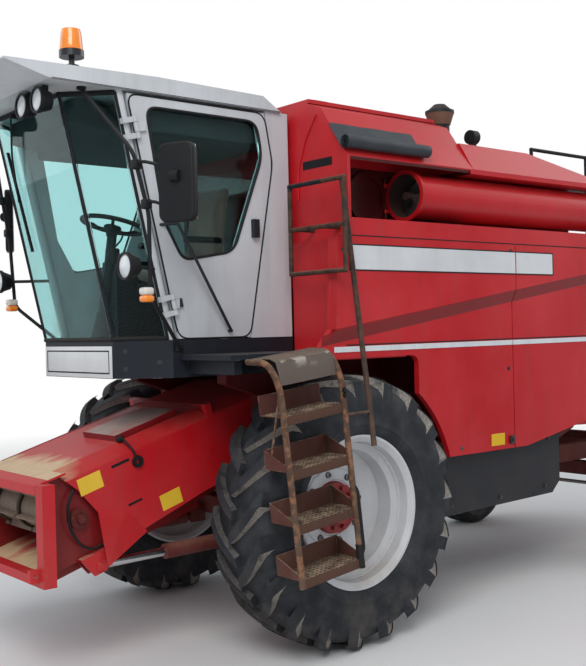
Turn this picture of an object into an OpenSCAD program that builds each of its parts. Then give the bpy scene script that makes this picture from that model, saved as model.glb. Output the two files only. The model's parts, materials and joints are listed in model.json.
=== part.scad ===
// Combine harvester without its cutting header.
// X points to the machine's left, Y to its rear, Z up. Every module is drawn about the
// machine's middle plane and its front axle, and place() moves it to the model's origin,
// the centre of the bounding box's base.

/* [Wheels] */
// Radius of the front tyres at the tips of their lugs
tyre_r = 815; // [760:1:860]
// Section width of the front tyres
tyre_w = 466; // [420:1:500]
// Radius of the front rims at their flanges
rim_r = 457; // [420:1:480]
// Lugs on each side of a front tyre
lug_count = 19; // [14:1:22]
// Height of the front lugs
lug_h = 38; // [20:1:48]
// Distance between the middles of the front tyres
front_track = 1934; // [1880:1:2060]
// Radius of the rear tyres
rear_r = 422; // [380:1:450]
// Section width of the rear tyres
rear_w = 290; // [240:1:310]
// Distance between the middles of the rear tyres
rear_track = 1960; // [1900:1:2100]
// Distance from the front axle to the rear axle
wheelbase = 3450; // [3300:1:3650]

/* [Cab] */
// Width of the cab across its doors
cab_w = 1340; // [1260:1:1440]
// Width of the front pane
pane_w = 850; // [760:1:900]
// Height of the cab's floor edge, the top of the black sill
sill_z = 1860; // [1830:1:1900]
// Height of the underside of the roof
roof_z = 3240; // [3150:1:3260]
// Thickness of the roof at its edge
roof_t = 85; // [60:1:110]
// Glass thickness
glass_t = 8; // [5:1:12]

/* [Grain tank and covers] */
// Width across the side panels
body_w = 2340; // [2280:1:2400]
// Height of the ledge that the unloading auger lies on
ledge_z = 2555; // [2500:1:2600]
// Outer radius of the unloading auger
auger_r = 145; // [120:1:150]
// Length of the unloading auger
auger_len = 3250; // [2800:1:3500]
// Thickness of the tank's walls
tank_wall = 25; // [15:1:30]

/* [Feeder house] */
// Width of the feeder house
feeder_w = 900; // [820:1:980]
// Slope of the feeder house at rest, in degrees
feeder_slope = 16.5; // [14:0.5:19]
// Slats on the feeder's chains
slat_count = 16; // [12:1:20]

/* [Ladder] */
// Width of the ladder between its rails
ladder_w = 460; // [400:1:480]
// Number of treads
tread_count = 4; // [3:1:4]
// Height from one tread to the next
tread_pitch = 292; // [260:1:300]
// Lean of the ladder, in degrees
ladder_lean = 6.5; // [0:0.5:8]

/* [Hidden] */
$fn = 48;

red = [0.70, 0.10, 0.12];
dark_red = [0.36, 0.05, 0.07];
pale = [0.80, 0.81, 0.82];
navy = [0.09, 0.11, 0.14];
rust = [0.36, 0.26, 0.22];
rubber = [0.09, 0.10, 0.11];
silver = [0.80, 0.81, 0.82];
steel = [0.55, 0.56, 0.58];
glass = [0.35, 0.60, 0.58, 0.4];
fit = 0.3;                               // gap between seated pieces
run = 8;                                 // gap round pieces that move

hub_z = tyre_r;
half_w = body_w / 2;
rear_axle_y = wheelbase;
visor_tip_y = -1940;
hood_end_y = 4960;
ladder_in_x = half_w + 55;
ladder_depth = 215;
reach_left = ladder_in_x + ladder_depth;
reach_right = front_track / 2 + tyre_w / 2;
frame_x = (reach_left - reach_right) / 2;
frame_y = (visor_tip_y + hood_end_y) / 2;

// Moves a piece from the machine's own lines to the model's origin
module place() translate([-frame_x, -frame_y, 0]) children();

// Copies a piece to the left and the right
module both() {
    children();
    mirror([1, 0, 0]) children();
}

// A box from its low to its high corner
module span(low, high) translate(low) cube(high - low);

// Extrudes an outline drawn in Y and Z along X, from x0 to x1
module side_cut(x0, x1) translate([x0, 0, 0]) rotate([90, 0, 90]) linear_extrude(x1 - x0) children();

// Extrudes an outline drawn in X and Z along Y, from y0 to y1
module cross_cut(y0, y1) translate([0, y1, 0]) rotate([90, 0, 0]) linear_extrude(y1 - y0) children();

// A shaft along X between two places
module shaft_x(x0, x1, y, z, r) translate([x0, y, z]) rotate([0, 90, 0]) cylinder(r = r, h = x1 - x0);

// A round bar between two points
module bar(a, b, r) {
    d = b - a;
    length = norm(d);
    translate(a) rotate([0, acos(d[2] / length), atan2(d[1], d[0])]) cylinder(r = r, h = length, $fn = 24);
}

// A rail of round bars with a ball at each bend, a little thicker than the bars
module rail(points, r) {
    last = len(points) - 1;
    for (i = [0 : last - 1]) bar(points[i], points[i + 1], r);
    for (i = [1 : last - 1]) translate(points[i]) sphere(r = r + 1.5, $fn = 24);
}

// Chassis and axles
rail_x = 500;
rail_w = 80;
rail_low = 760;
rail_high = 900;

module chassis() place() color(dark_red) {
    both() span([rail_x - rail_w / 2, -150, rail_low], [rail_x + rail_w / 2, rear_axle_y + 420, rail_high]);
    for (y = [480, 1700, 2850]) span([-rail_x + rail_w / 2, y, rail_low + 20], [rail_x - rail_w / 2, y + 90, rail_high - 20]);
    // Rear hitch with its pin bore
    difference() {
        union() {
            span([-rail_x - rail_w / 2, rear_axle_y + 420, rail_low], [rail_x + rail_w / 2, rear_axle_y + 500, rail_high]);
            for (z = [hitch_low, hitch_high]) span([-70, rear_axle_y + 500, z], [70, rear_axle_y + 640, z + 25]);
        }
        translate([0, hitch_y, hitch_low - 10]) cylinder(r = hitch_r, h = hitch_high - hitch_low + 45);
    }
}
hitch_low = 775;
hitch_high = 855;
hitch_y = rear_axle_y + 590;
hitch_r = 16;

module front_axle() place() color(dark_red) {
    span([-625, -75, axle_low], [625, 75, rail_low - fit]);
    both() {
        // Final drive housing, wheel shaft and the journal in the hub
        shaft_x(620, 700, 0, hub_z, 190);
        shaft_x(700, hub_face_x - 36, 0, hub_z, 120);
        shaft_x(700, hub_face_x + 5, 0, hub_z, journal_r - 0.05);
        // Lugs for the lift rams
        difference() {
            for (x = [ram_x - 48, ram_x + 33]) span([x, ram_foot[0] - 40, ram_foot[1] - 40], [x + 15, -70, axle_low + 60]);
            shaft_x(ram_x - 60, ram_x + 60, ram_foot[0], ram_foot[1], ram_pin_r);
        }
    }
}
axle_low = 640;
journal_r = 60;
hub_face_x = 930;

// Front wheels
rim_half = 203;
module front_rim() {
    x_mid = front_track / 2;
    color(silver) translate([0, 0, hub_z]) rotate([0, 90, 0]) rotate_extrude() polygon([
        // Rim: outer flange, drop centre, inner flange
        [rim_r, x_mid + rim_half], [rim_r, x_mid + rim_half - 12], [rim_r - 28, x_mid + rim_half - 22],
        [rim_r - 36, x_mid + 110], [rim_r - 80, x_mid + 75], [rim_r - 80, x_mid - 60],
        [rim_r - 36, x_mid - 100], [rim_r - 28, x_mid - rim_half + 22], [rim_r, x_mid - rim_half + 12],
        [rim_r, x_mid - rim_half], [rim_r - 14, x_mid - rim_half], [rim_r - 42, x_mid - rim_half + 26],
        [rim_r - 50, x_mid - 106], [rim_r - 94, x_mid - 66],
        // Disc with its dish
        [rim_r - 94, hub_face_x - 10], [250, hub_face_x - 30], [journal_r, hub_face_x - 30],
        [journal_r, hub_face_x - 14], [245, hub_face_x - 14], [rim_r - 100, hub_face_x + 14],
        [rim_r - 94, x_mid + 81], [rim_r - 50, x_mid + 116], [rim_r - 42, x_mid + rim_half - 26],
        [rim_r - 14, x_mid + rim_half]]);
    // Hub with its bolt ring
    color(red) {
        difference() {
            shaft_x(hub_face_x - 14, hub_face_x + 30, 0, hub_z, 150);
            shaft_x(hub_face_x - 20, hub_face_x + 12, 0, hub_z, journal_r);
        }
        shaft_x(hub_face_x + 30, hub_face_x + 75, 0, hub_z, 88);
        for (i = [0 : 9]) rotate_hub(i * 36) shaft_x(hub_face_x + 30, hub_face_x + 48, 122, 0, 13);
    }
    color(navy) for (i = [0 : 7]) rotate_hub(i * 45 + 11) shaft_x(hub_face_x - 14, hub_face_x + 10, 205, 0, 14);
}
module rotate_hub(a) translate([0, 0, hub_z]) rotate([a, 0, 0]) children();
module front_rim_left() place() front_rim();
module front_rim_right() place() mirror([1, 0, 0]) front_rim();

// A lug runs from the tread's middle line to its shoulder, swept back
lug_sweep = 13;
lug_thick = 62;
tread_half = tyre_w / 2 - 14;
module lug() {
    base_r = tyre_r - lug_h;
    reach = norm([tread_half + 18, tyre_r * sin(lug_sweep)]);
    turn = atan(tyre_r * sin(lug_sweep) / (tread_half + 18));
    // A bar across half of the tread, tilted down to the shoulder
    translate([-18, 0, base_r]) rotate([0, 0, -turn]) rotate([0, 6, 0]) translate([0, -lug_thick / 2, -24])
        cube([reach - 22, lug_thick, lug_h + 24]);
}
module front_tyre() {
    h = tyre_w / 2;
    carcass = tyre_r - lug_h;
    color(rubber) translate([front_track / 2, 0, hub_z]) {
        rotate([0, 90, 0]) rotate_extrude($fn = 30) polygon([
            [rim_r + 3.2, -rim_half + 4], [rim_r + 70, -h + 3], [carcass - 130, -h], [carcass - 30, -h + 42], [carcass, -h + 110],
            [carcass, h - 110], [carcass - 30, h - 42], [carcass - 130, h], [rim_r + 70, h - 3], [rim_r + 3.2, rim_half - 4]]);
        for (i = [0 : lug_count - 1]) {
            rotate([i * 360 / lug_count, 0, 0]) lug();
            rotate([(i + 0.5) * 360 / lug_count, 0, 0]) mirror([1, 0, 0]) lug();
        }
    }
}
module front_tyre_left() place() front_tyre();
module front_tyre_right() place() mirror([1, 0, 0]) front_tyre();

// Rear axle: a beam under the body, a knuckle and a wheel at each end
pin_x = 740;
rear_x = rear_track / 2;
beam_z = 640;
module rear_axle() place() color(dark_red) {
    span([-pin_x + 75, rear_axle_y - 60, beam_z - 55], [pin_x - 75, rear_axle_y + 60, beam_z + 55]);
    span([-110, rear_axle_y - 60, beam_z + 55], [110, rear_axle_y + 60, rail_low + 20]);
    span([-rail_x + rail_w / 2, rear_axle_y - 90, rail_low + 20], [rail_x - rail_w / 2, rear_axle_y + 90, rail_high - 20]);
    both() difference() {
        // Fork that holds the kingpin
        span([pin_x - 75, rear_axle_y - 60, beam_z - 55], [pin_x + 50, rear_axle_y + 60, beam_z + 55]);
        translate([pin_x, rear_axle_y, beam_z - 60]) cylinder(r = king_r, h = 120);
    }
}
king_r = 28;
arm_y = 260;
arm_z = 500;
module knuckle() color(dark_red) {
    // Kingpin, its caps and the stub axle
    translate([pin_x, rear_axle_y, rear_r - 60]) cylinder(r = king_r - 0.05, h = beam_z + 62 - rear_r + 60 + 15);
    translate([pin_x, rear_axle_y, rear_r - 70]) cylinder(r = 58, h = beam_z - 55 - run - rear_r + 70);
    translate([pin_x, rear_axle_y, beam_z + 55 + run]) cylinder(r = 50, h = 18);
    shaft_x(pin_x, rear_x - 66, rear_axle_y, rear_r, 55);
    shaft_x(pin_x, rear_x - 20, rear_axle_y, rear_r, stub_r - 0.05);
    // Steering arm behind the axle
    difference() {
        span([pin_x - 30, rear_axle_y, arm_z - 14], [pin_x + 30, rear_axle_y + arm_y + 35, arm_z + 14]);
        translate([pin_x, rear_axle_y + arm_y, arm_z - 20]) cylinder(r = 14, h = 40);
    }
}
stub_r = 38;
module knuckle_left() place() knuckle();
module knuckle_right() place() mirror([1, 0, 0]) knuckle();

rear_rim_r = 200;
rear_rim_half = 118;
module rear_rim() {
    color(silver) translate([0, rear_axle_y, rear_r]) rotate([0, 90, 0]) rotate_extrude() polygon([
        [rear_rim_r, rear_x + rear_rim_half], [rear_rim_r, rear_x + rear_rim_half - 10],
        [rear_rim_r - 22, rear_x + rear_rim_half - 18], [rear_rim_r - 40, rear_x + 40],
        [rear_rim_r - 40, rear_x - 40], [rear_rim_r - 22, rear_x - rear_rim_half + 18],
        [rear_rim_r, rear_x - rear_rim_half + 10], [rear_rim_r, rear_x - rear_rim_half],
        [rear_rim_r - 12, rear_x - rear_rim_half], [rear_rim_r - 34, rear_x - rear_rim_half + 24],
        [rear_rim_r - 52, rear_x - 44], [rear_rim_r - 52, rear_x - 20], [70, rear_x - 30], [stub_r, rear_x - 30],
        [stub_r, rear_x - 16], [75, rear_x - 16], [rear_rim_r - 52, rear_x - 4], [rear_rim_r - 52, rear_x + 44],
        [rear_rim_r - 34, rear_x + rear_rim_half - 24], [rear_rim_r - 12, rear_x + rear_rim_half]]);
    color(red) {
        difference() {
            shaft_x(rear_x - 60, rear_x - 29, rear_axle_y, rear_r, 80);
            shaft_x(rear_x - 61, rear_x - 28, rear_axle_y, rear_r, stub_r);
        }
        shaft_x(rear_x - 16, rear_x + 60, rear_axle_y, rear_r, 52);
    }
}
module rear_rim_left() place() rear_rim();
module rear_rim_right() place() mirror([1, 0, 0]) rear_rim();

module rear_tyre() {
    h = rear_w / 2;
    groove = [24, 40, 14];                // inner edge, outer edge, depth
    color(rubber) translate([rear_x, rear_axle_y, rear_r]) rotate([0, 90, 0]) rotate_extrude() polygon([
        [rear_rim_r + 1, -rear_rim_half + 3], [rear_rim_r + 60, -h], [rear_r - 45, -h + 4], [rear_r, -h + 50],
        [rear_r, -groove[1]], [rear_r - groove[2], -groove[0]], [rear_r, 0], [rear_r - groove[2], groove[0]], [rear_r, groove[1]],
        [rear_r, h - 50], [rear_r - 45, h - 4], [rear_rim_r + 60, h], [rear_rim_r + 1, rear_rim_half - 3]]);
}
module rear_tyre_left() place() rear_tyre();
module rear_tyre_right() place() mirror([1, 0, 0]) rear_tyre();

module tie_rod() place() color(steel) {
    y = rear_axle_y + arm_y;
    shaft_x(-pin_x + 30, pin_x - 30, y, arm_z - 40, 16);
    both() {
        translate([pin_x, y, arm_z - 58]) cylinder(r = 32, h = 36);
        translate([pin_x, y, arm_z - 24]) cylinder(r = 13.95, h = 48);
    }
}

// Threshing body: the closed housing between the wheels
shell_w = 560;
body_front = 62;
module threshing_body() place() color(dark_red) {
    side_cut(-shell_w, shell_w) polygon([
        [body_front, rail_high + fit], [2600, rail_high + fit], [panel_end, 1040], [panel_end, panel_top],
        [tank_rear + 10, panel_top], [tank_rear + 10, tank_floor - fit], [cab_rear + 8, tank_floor - fit],
        [cab_rear + 8, sill_low], [body_front, 1560]]);
    // Cheeks that hold the feeder house's hinge and carry the cab
    both() difference() {
        side_cut(feeder_w / 2 + 18, shell_w) polygon([[-215, rail_high + fit], [body_front + 2, rail_high + fit],
            [body_front + 2, sill_low - fit], [-520, sill_low - fit], [-520, sill_low - 60], [-280, 1500]]);
        shaft_x(0, feeder_w / 2 + 62, pivot_y, pivot_z, hinge_r);
    }
}
hinge_r = 45;

// Grain tank with its sloping covers and the bay for the unloading auger
tank_floor = 1900;
tank_front = -50;
tank_rear = 1080;
bay_x = 820;
cover_z = 2925;
ridge_x = 820;
ridge_z = 3285;
fold_x = 950;
fold_z = 3235;
tank_inner_x = bay_x - tank_wall;
ledge_low = ledge_z - 110;
hopper_w = 420;
tank_hip = 2420;
module tank_outline() difference() {
    polygon([[hopper_w + 40, tank_floor], [bay_x, tank_hip - 20], [bay_x, ledge_z - 30], [half_w - 45, ledge_z - 30],
        [half_w - 45, ledge_low], [half_w, ledge_low], [half_w, ledge_z], [bay_x, ledge_z], [bay_x, ridge_z - 75],
        [fold_x - 40, fold_z - 50], [half_w - 12, cover_z - 25], [half_w, cover_z], [fold_x, fold_z], [ridge_x, ridge_z],
        [-ridge_x, ridge_z], [-fold_x, fold_z], [-half_w, cover_z], [-half_w, ledge_low], [-half_w + 90, ledge_low], [-bay_x, tank_hip - 20],
        [-hopper_w - 40, tank_floor]]);
    tank_space();
}
module tank_wall_outline() polygon([
    [hopper_w + 40, tank_floor], [bay_x, tank_hip - 20], [half_w - 90, ledge_low], [half_w, ledge_low], [half_w, cover_z], [fold_x, fold_z],
    [ridge_x, ridge_z], [-ridge_x, ridge_z], [-fold_x, fold_z], [-half_w, cover_z], [-half_w, ledge_low], [-half_w + 90, ledge_low],
    [-bay_x, tank_hip - 20], [-hopper_w - 40, tank_floor]]);
module tank_space() polygon([[hopper_w, tank_floor + tank_wall], [tank_inner_x, tank_hip], [tank_inner_x, ridge_z + 10],
    [-ridge_x + tank_wall, ridge_z + 10], [-ridge_x + tank_wall, ridge_z - 25], [-fold_x + 20, fold_z - 30],
    [-half_w + tank_wall, cover_z - 10], [-half_w + tank_wall, ledge_low + 35], [-tank_inner_x, tank_hip],
    [-hopper_w, tank_floor + tank_wall]]);
module grain_tank() place() {
    color(red) {
        cross_cut(tank_front + tank_wall - 1, tank_rear - tank_wall + 1) tank_outline();
        cross_cut(tank_front, tank_front + tank_wall) tank_wall_outline();
        cross_cut(tank_rear - tank_wall, tank_rear) difference() {
            tank_wall_outline();
            translate([bay_x, ledge_z]) square([half_w, cover_z - 30 - ledge_z]);
        }
    }
    // Hinge pin of the auger
    color(dark_red) {
        translate([hinge_x, hinge_y, auger_z - 130]) cylinder(r = 5.95, h = 260);
        for (z = [-130, 100]) {
            translate([hinge_x, hinge_y, auger_z + z]) cylinder(r = 10, h = 30);
            span([bay_x - 2, hinge_y - 10, auger_z + z], [hinge_x, hinge_y + 6, auger_z + z + 30]);
        }
    }
    // Outlet flange that the auger closes on when it swings out
    color(dark_red) translate([bay_x - 2, outlet_y, auger_z]) rotate([0, 90, 0]) difference() {
        cylinder(r = auger_r + 20, h = 22);
        translate([0, 0, 7]) cylinder(r = auger_r - 15, h = 20);
    }
}

module tank_lid() color(red) {
    span([12, tank_front, ridge_z + fit], [ridge_x + 16, tank_rear, ridge_z + 24]);
    span([30, tank_front + 240, ridge_z + 24], [48, tank_front + 420, ridge_z + 50]);
}
module tank_lid_left() place() tank_lid();
module tank_lid_right() place() mirror([1, 0, 0]) tank_lid();

module tarp_roll() place() color(navy) {
    // It lies against the slope of the cover, near its lower edge
    slope = [fold_x - half_w, fold_z - cover_z];
    out = [slope[1], -slope[0]] / norm(slope);
    at = [half_w, cover_z] + slope * 0.16 + out * (42 + fit);
    translate([at[0], tank_front - 20, at[1]]) rotate([-90, 0, 0]) cylinder(r = 42, h = 720);
}

// Unloading auger, folded back on its vertical hinge
auger_z = ledge_z + 20 + auger_r + 20;
auger_x = bay_x + auger_r + 35;
auger_y = 600;
hinge_x = bay_x + 15;
hinge_y = auger_y - 6;
outlet_y = hinge_y - (auger_x - hinge_x);
module unloading_auger() place() {
    color(red) translate([auger_x, auger_y, auger_z]) rotate([-90, 0, 0]) difference() {
        union() {
            cylinder(r = auger_r, h = auger_len);
            cylinder(r = auger_r + 20, h = 22);
            translate([0, 0, auger_len - 220]) rotate([-90, 0, 0]) cylinder(r = auger_r - 5, h = 230);
        }
        translate([0, 0, -1]) cylinder(r = auger_r - 8, h = auger_len - 4);
        translate([0, 0, auger_len - 220]) rotate([-90, 0, 0]) cylinder(r = auger_r - 13, h = 240);
    }
    color(steel) translate([auger_x, auger_y, auger_z]) rotate([-90, 0, 0]) {
        translate([0, 0, 12]) cylinder(r = 26, h = auger_len - 16);
    }
    // Hinge barrels
    color(dark_red) for (z = [-95, 70]) difference() {
        union() {
            translate([hinge_x, hinge_y, auger_z + z]) cylinder(r = 10, h = 25);
            span([hinge_x, auger_y, auger_z + z], [hinge_x + 45, auger_y + 12, auger_z + z + 25]);
        }
        translate([hinge_x, hinge_y, auger_z + z - 1]) cylinder(r = 6, h = 27);
    }
}

// Side panels: proud upper part, sloping bevel band, flat lower part with the wheel arch
panel_t = 40;
panel_top = ledge_low - fit;
panel_low_x = half_w - 40;
panel_end = 3000;
seam_y = 1500;
stripe_z = 1778;
arch_top = 1725;
arch_r = tyre_r + 55;
function crease_up(y) = 1895 + (y + 180) * 0.144;
function crease_low(y) = 1797 + (y + 260) * 0.147;
function panel_bottom(y) = y < 1640 ? 1055 : 1055 + (y - 1640) * 0.172;
module panel_outline(y0, y1) polygon([
    [y0 < 0 ? -255 : y0, y0 < 0 ? arch_top : panel_bottom(y0)], [y0 < 0 ? -255 : y0, crease_low(y0)],
    if (y0 < 0) [-168, crease_up(y0) + 12], [y0 < 0 ? -140 : y0, panel_top], [y1, panel_top], [y1, panel_bottom(y1)],
    if (y1 > 1640 && y0 < 1640) [1640, 1055], if (y0 < 0) [840, 1055], if (y0 < 0) [-200, 1055]]);
module arch_cut() {
    translate([0, hub_z]) circle(r = arch_r);
    translate([-600, 0]) square([1160 - 60, arch_top]);
    translate([-600, 0]) square([1160, arch_top - 60]);
    translate([500, arch_top - 60]) circle(r = 60);
}
module side_panel(y0, y1) {
    color(red) {
        // Flat lower part
        side_cut(panel_low_x - panel_t, panel_low_x) difference() {
            panel_outline(y0, y1);
            if (y0 < 0) arch_cut();
        }
        // Proud upper part
        side_cut(panel_low_x, half_w) polygon([[max(y0, -165), crease_up(y0)], [max(y0, -140), panel_top], [y1, panel_top], [y1, crease_up(y1)]]);
    }
    color(dark_red) hull() {
        side_cut(half_w - 1, half_w) polygon([[max(y0, -170), crease_up(y0)], [y1, crease_up(y1)], [y1, crease_up(y1) + 3], [max(y0, -170), crease_up(y0) + 3]]);
        side_cut(panel_low_x - 1, panel_low_x) polygon([[max(y0, -250), crease_low(y0)], [y1, crease_low(y1)], [y1, crease_low(y1) + 60], [max(y0, -250), crease_low(y0) + 60]]);
    }
    color(pale) span([panel_low_x, max(y0, -150), stripe_z - 16], [panel_low_x + 3, y1, stripe_z + 16]);
}
module side_panel_front() {
    side_panel(-260, seam_y - run / 2);
    // Wheel house round the tyre, and the wall under the tank's front
    color(dark_red) {
        span([cab_half + 12, -240, arch_top - 8], [panel_low_x - 20, -60, arch_top + 14]);
        span([shell_w + fit, -77, arch_top - 8], [panel_low_x - 20, 470, arch_top + 14]);
        span([shell_w + fit, 900, 1135], [panel_low_x - 20, 925, 1890]);
        cross_cut(-77, tank_front - fit) polygon([[cab_half + 12, arch_top], [panel_low_x - 20, arch_top],
            [panel_low_x - 20, panel_top - 10], [cab_half + 12, panel_top - 10]]);
    }
}
module side_panel_left() place() side_panel_front();
module side_panel_right() place() mirror([1, 0, 0]) side_panel_front();
module side_door_left() place() side_panel(seam_y + run / 2, panel_end);
module side_door_right() place() mirror([1, 0, 0]) side_panel(seam_y + run / 2, panel_end);

module lower_guards() place() both() {
    x = panel_low_x - panel_t - 30;
    color(navy) side_cut(x, x + 12) polygon([[835, 1120], [1640, 1110], [2080, 1180], [2080, 760], [1990, 680], [835, 660]]);
    color(dark_red) for (y = [980, 1760]) span([shell_w + fit, y, 1010], [x + 1, y + 60, 1060]);
}

// Engine block, its hood and the air intake
hood_rear = 2620;
hood_ridge_x = 1055;
hood_z = 3115;
module engine() place() color(steel) {
    low = panel_top + fit;
    span([-330, 1240, low], [330, 1760, low + 330]);
    span([-240, 1280, low + 330], [240, 1720, low + 480]);
    for (i = [0 : 3]) shaft_x(-300, 300, 1330 + i * 110, low + 480, 40);
    for (z = [low + 120, low + 280]) translate([0, 1765, z]) rotate([90, 0, 0]) cylinder(r = z == low + 120 ? 110 : 60, h = 10);
}
hood_fall = 170;
hood_break = 1800;
hood_edge_low = 2895;
module engine_hood() place() color(red) {
    difference() {
        side_cut(-half_w, half_w) polygon([[tank_rear + fit, ledge_low], [tank_rear + fit, hood_z], [hood_break, hood_z],
            [hood_rear, hood_z - hood_fall], [hood_rear, ledge_low]]);
        // Sloping shoulders
        both() cross_cut(tank_rear, hood_rear + 1) polygon([[hood_ridge_x, hood_z + 1], [half_w + 1, cover_z], [half_w + 1, hood_z + 1]]);
        // Bay of the auger
        span([bay_x, tank_rear, ledge_z], [half_w + 1, hood_rear + 1, hood_edge_low]);
        // Engine space
        side_cut(-bay_x + 22, bay_x - 22) polygon([[tank_rear + 40, ledge_low - 1], [tank_rear + 40, hood_z - 22], [hood_break - 5, hood_z - 22],
            [hood_rear - 30, hood_z - hood_fall - 18], [hood_rear - 30, ledge_low - 1]]);
    }
    both() span([bay_x - 1, tank_rear + fit, ledge_low], [half_w, panel_end, ledge_z]);
    span([-bay_x, hood_rear - 1, ledge_low], [bay_x, panel_end, ledge_z]);
}

// Air intake with its bowl
intake = [790, 1190];
module air_intake() place() translate([intake[0], intake[1], hood_z + fit]) {
    color(navy) cylinder(r = 66, h = 175);
    color(rust) translate([0, 0, 174]) cylinder(r1 = 72, r2 = 98, h = 80);
    color(navy) translate([0, 0, 254]) cylinder(r = 100, h = 20);
    color(rust) translate([0, 0, 273]) cylinder(r1 = 90, r2 = 40, h = 45);
}

// Straw hood
module straw_hood() place() color(red) difference() {
    side_cut(-600, 600) polygon([[3000 + fit, 1060], [3000 + fit, 2440], [3900, 2380], [4640, 2020], [hood_end_y, 1400], [hood_end_y, 1150], [4500, 1000]]);
    side_cut(-570, 570) polygon([[3100, 900], [3100, 2410], [3890, 2350], [4620, 1995], [hood_end_y - 35, 1390], [hood_end_y - 35, 900]]);
}

// Feeder house on its upper hinge
pivot_y = -130;
pivot_z = 1375;
feeder_front = -1650;
feeder_up = 190;
feeder_down = 330;
wall = 12;
inner_half = feeder_w / 2 - 50;          // half of the inner box's width
fold_up = feeder_up - 55;                // lower fold of the sloping shoulders
skin_front = -1433;                      // where the side skins start
module feeder_frame() translate([0, pivot_y, pivot_z]) rotate([feeder_slope, 0, 0]) children();
function square_front(z) = (feeder_front - pivot_y + z * sin(feeder_slope)) / cos(feeder_slope);
// Half of the house from the side skin's inner face out: the skin's shape from the side
module skin_outline() polygon([[skin_front, feeder_up], [skin_front, fold_up + 14], [skin_front + 60, 63], [skin_front + 148, -126],
    [skin_front + 148, -feeder_down + 5], [-1038, -feeder_down + 12], [-594, -feeder_down + 51],
    [0, -feeder_down + 60], [100, -150], [100, feeder_up - 60], [60, feeder_up]]);
module feeder_house() place() feeder_frame() color(red) {
    difference() {
        union() {
            // Inner box, the full length
            side_cut(-inner_half, inner_half) polygon([[square_front(-feeder_down), -feeder_down], [square_front(feeder_up), feeder_up],
                [60, feeder_up], [100, feeder_up - 60], [100, -150], [0, -feeder_down + 60], [-594, -feeder_down]]);
            // Wider top plate at the front
            side_cut(-feeder_w / 2 - 15, feeder_w / 2 + 15) polygon([[square_front(feeder_up - 12), feeder_up - 12],
                [square_front(feeder_up), feeder_up], [skin_front + 12, feeder_up], [skin_front + 12, feeder_up - 12]]);
            // Side skins
            side_cut(-feeder_w / 2, feeder_w / 2) skin_outline();
            // Raised hatch and cross bar
            span([-70, -1000, feeder_up - 1], [320, -560, feeder_up + 38]);
            span([-feeder_w / 2, -430, fold_up - 20], [feeder_w / 2, -390, feeder_up + 25]);
        }
        // Sloping shoulders
        both() cross_cut(skin_front - 1, -431) polygon([[340, feeder_up], [feeder_w / 2, fold_up], [feeder_w / 2 + 1, fold_up],
            [feeder_w / 2 + 1, feeder_up + 1], [340, feeder_up + 1]]);
        both() cross_cut(-389, 101) polygon([[340, feeder_up], [feeder_w / 2, fold_up], [feeder_w / 2 + 1, fold_up],
            [feeder_w / 2 + 1, feeder_up + 1], [340, feeder_up + 1]]);
        // Space behind the front of the side skins
        both() span([inner_half, skin_front - 1, -feeder_down - 1], [feeder_w / 2 - wall, -700, fold_up - 30]);
        side_cut(-inner_half + wall, inner_half - wall) polygon([[square_front(-feeder_down) - 20, -feeder_down + wall], [square_front(feeder_up) - 20, feeder_up - wall],
            [50, feeder_up - wall], [90, feeder_up - 65], [90, -145], [0, -feeder_down + 75], [-594, -feeder_down + wall]]);
        span([-inner_half + wall, 60, -140], [inner_half - wall, 140, feeder_up - 70]);
    }
    both() {
        // Flared plate below the skin's front edge
        hull() for (p = [[0, skin_front + 140, -92], [0, skin_front + 301, -166], [0, -1040, -feeder_down - 8], [44, skin_front + 80, -feeder_down - 76]])
            span([feeder_w / 2 - 6 + p[0], p[1], p[2]], [feeder_w / 2 + 2 + p[0], p[1] + 2, p[2] + 2]);
        // Beam under the house
        span([ram_x - 105, square_front(-feeder_down) + 5, -feeder_down - 62], [ram_x - 55, -600, -feeder_down + 1]);
    }
    // Hinge journals and the lugs for the rams
    both() {
        shaft_x(feeder_w / 2 - 1, feeder_w / 2 + 60, 0, 0, hinge_r - 0.05);
        // The rod's eye hangs between them, and the pin's heads show outside them
        for (x = [ram_x - 48, ram_x + 33]) side_cut(x, x + 15) polygon([[eye_at[0] - 90, -feeder_down + 1], [eye_at[0] - 40, eye_at[1] - 38], [eye_at[0] + 40, eye_at[1] - 38], [eye_at[0] + 90, -feeder_down + 1]]);
        span([inner_half - 1, eye_at[0] - 88, -feeder_down], [ram_x + 48, eye_at[0] + 88, -feeder_down + wall]);
        for (x = [ram_x - 58, ram_x + 47]) shaft_x(x, x + 11, eye_at[0], eye_at[1], ram_pin_r + 6);
    }
}
module feeder_conveyor() place() feeder_frame() {
    drum_y = -1440;
    drum_r = 110;
    rear_y = -25;
    color(steel) {
        shaft_x(-inner_half + wall + fit, inner_half - wall - fit, drum_y, -60, drum_r);
        for (i = [0 : slat_count / 2 - 1]) {
            y = drum_y + (i + 0.5) * (rear_y - drum_y) / (slat_count / 2);
            for (s = [-1, 1]) span([-370, y - 5, -60 + s * (drum_r + 20) - 18], [370, y + 5, -60 + s * (drum_r + 20) + 18]);
        }
        for (a = [120, 180, 240]) translate([0, drum_y, -60]) rotate([a - 90, 0, 0]) span([-370, -5, drum_r + 2], [370, 5, drum_r + 38]);
    }
    color(navy) for (x = [-300, 0, 300]) side_cut(x - 14, x + 14) difference() {
        chain_loop(drum_y, rear_y, drum_r + 16);
        chain_loop(drum_y, rear_y, drum_r + 1);
    }
    // Rear shaft of the chains
    color(steel) shaft_x(-inner_half + wall + fit, inner_half - wall - fit, rear_y, -60, 30);
    color(navy) for (x = [-300, 0, 300]) shaft_x(x - 14, x + 14, rear_y, -60, drum_r + 2);
}
module chain_loop(far_y, near_y, r) {
    for (y = [far_y, near_y]) translate([y, -60]) circle(r = r);
    translate([far_y, -60 - r]) square([near_y - far_y, 2 * r]);
}

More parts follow.
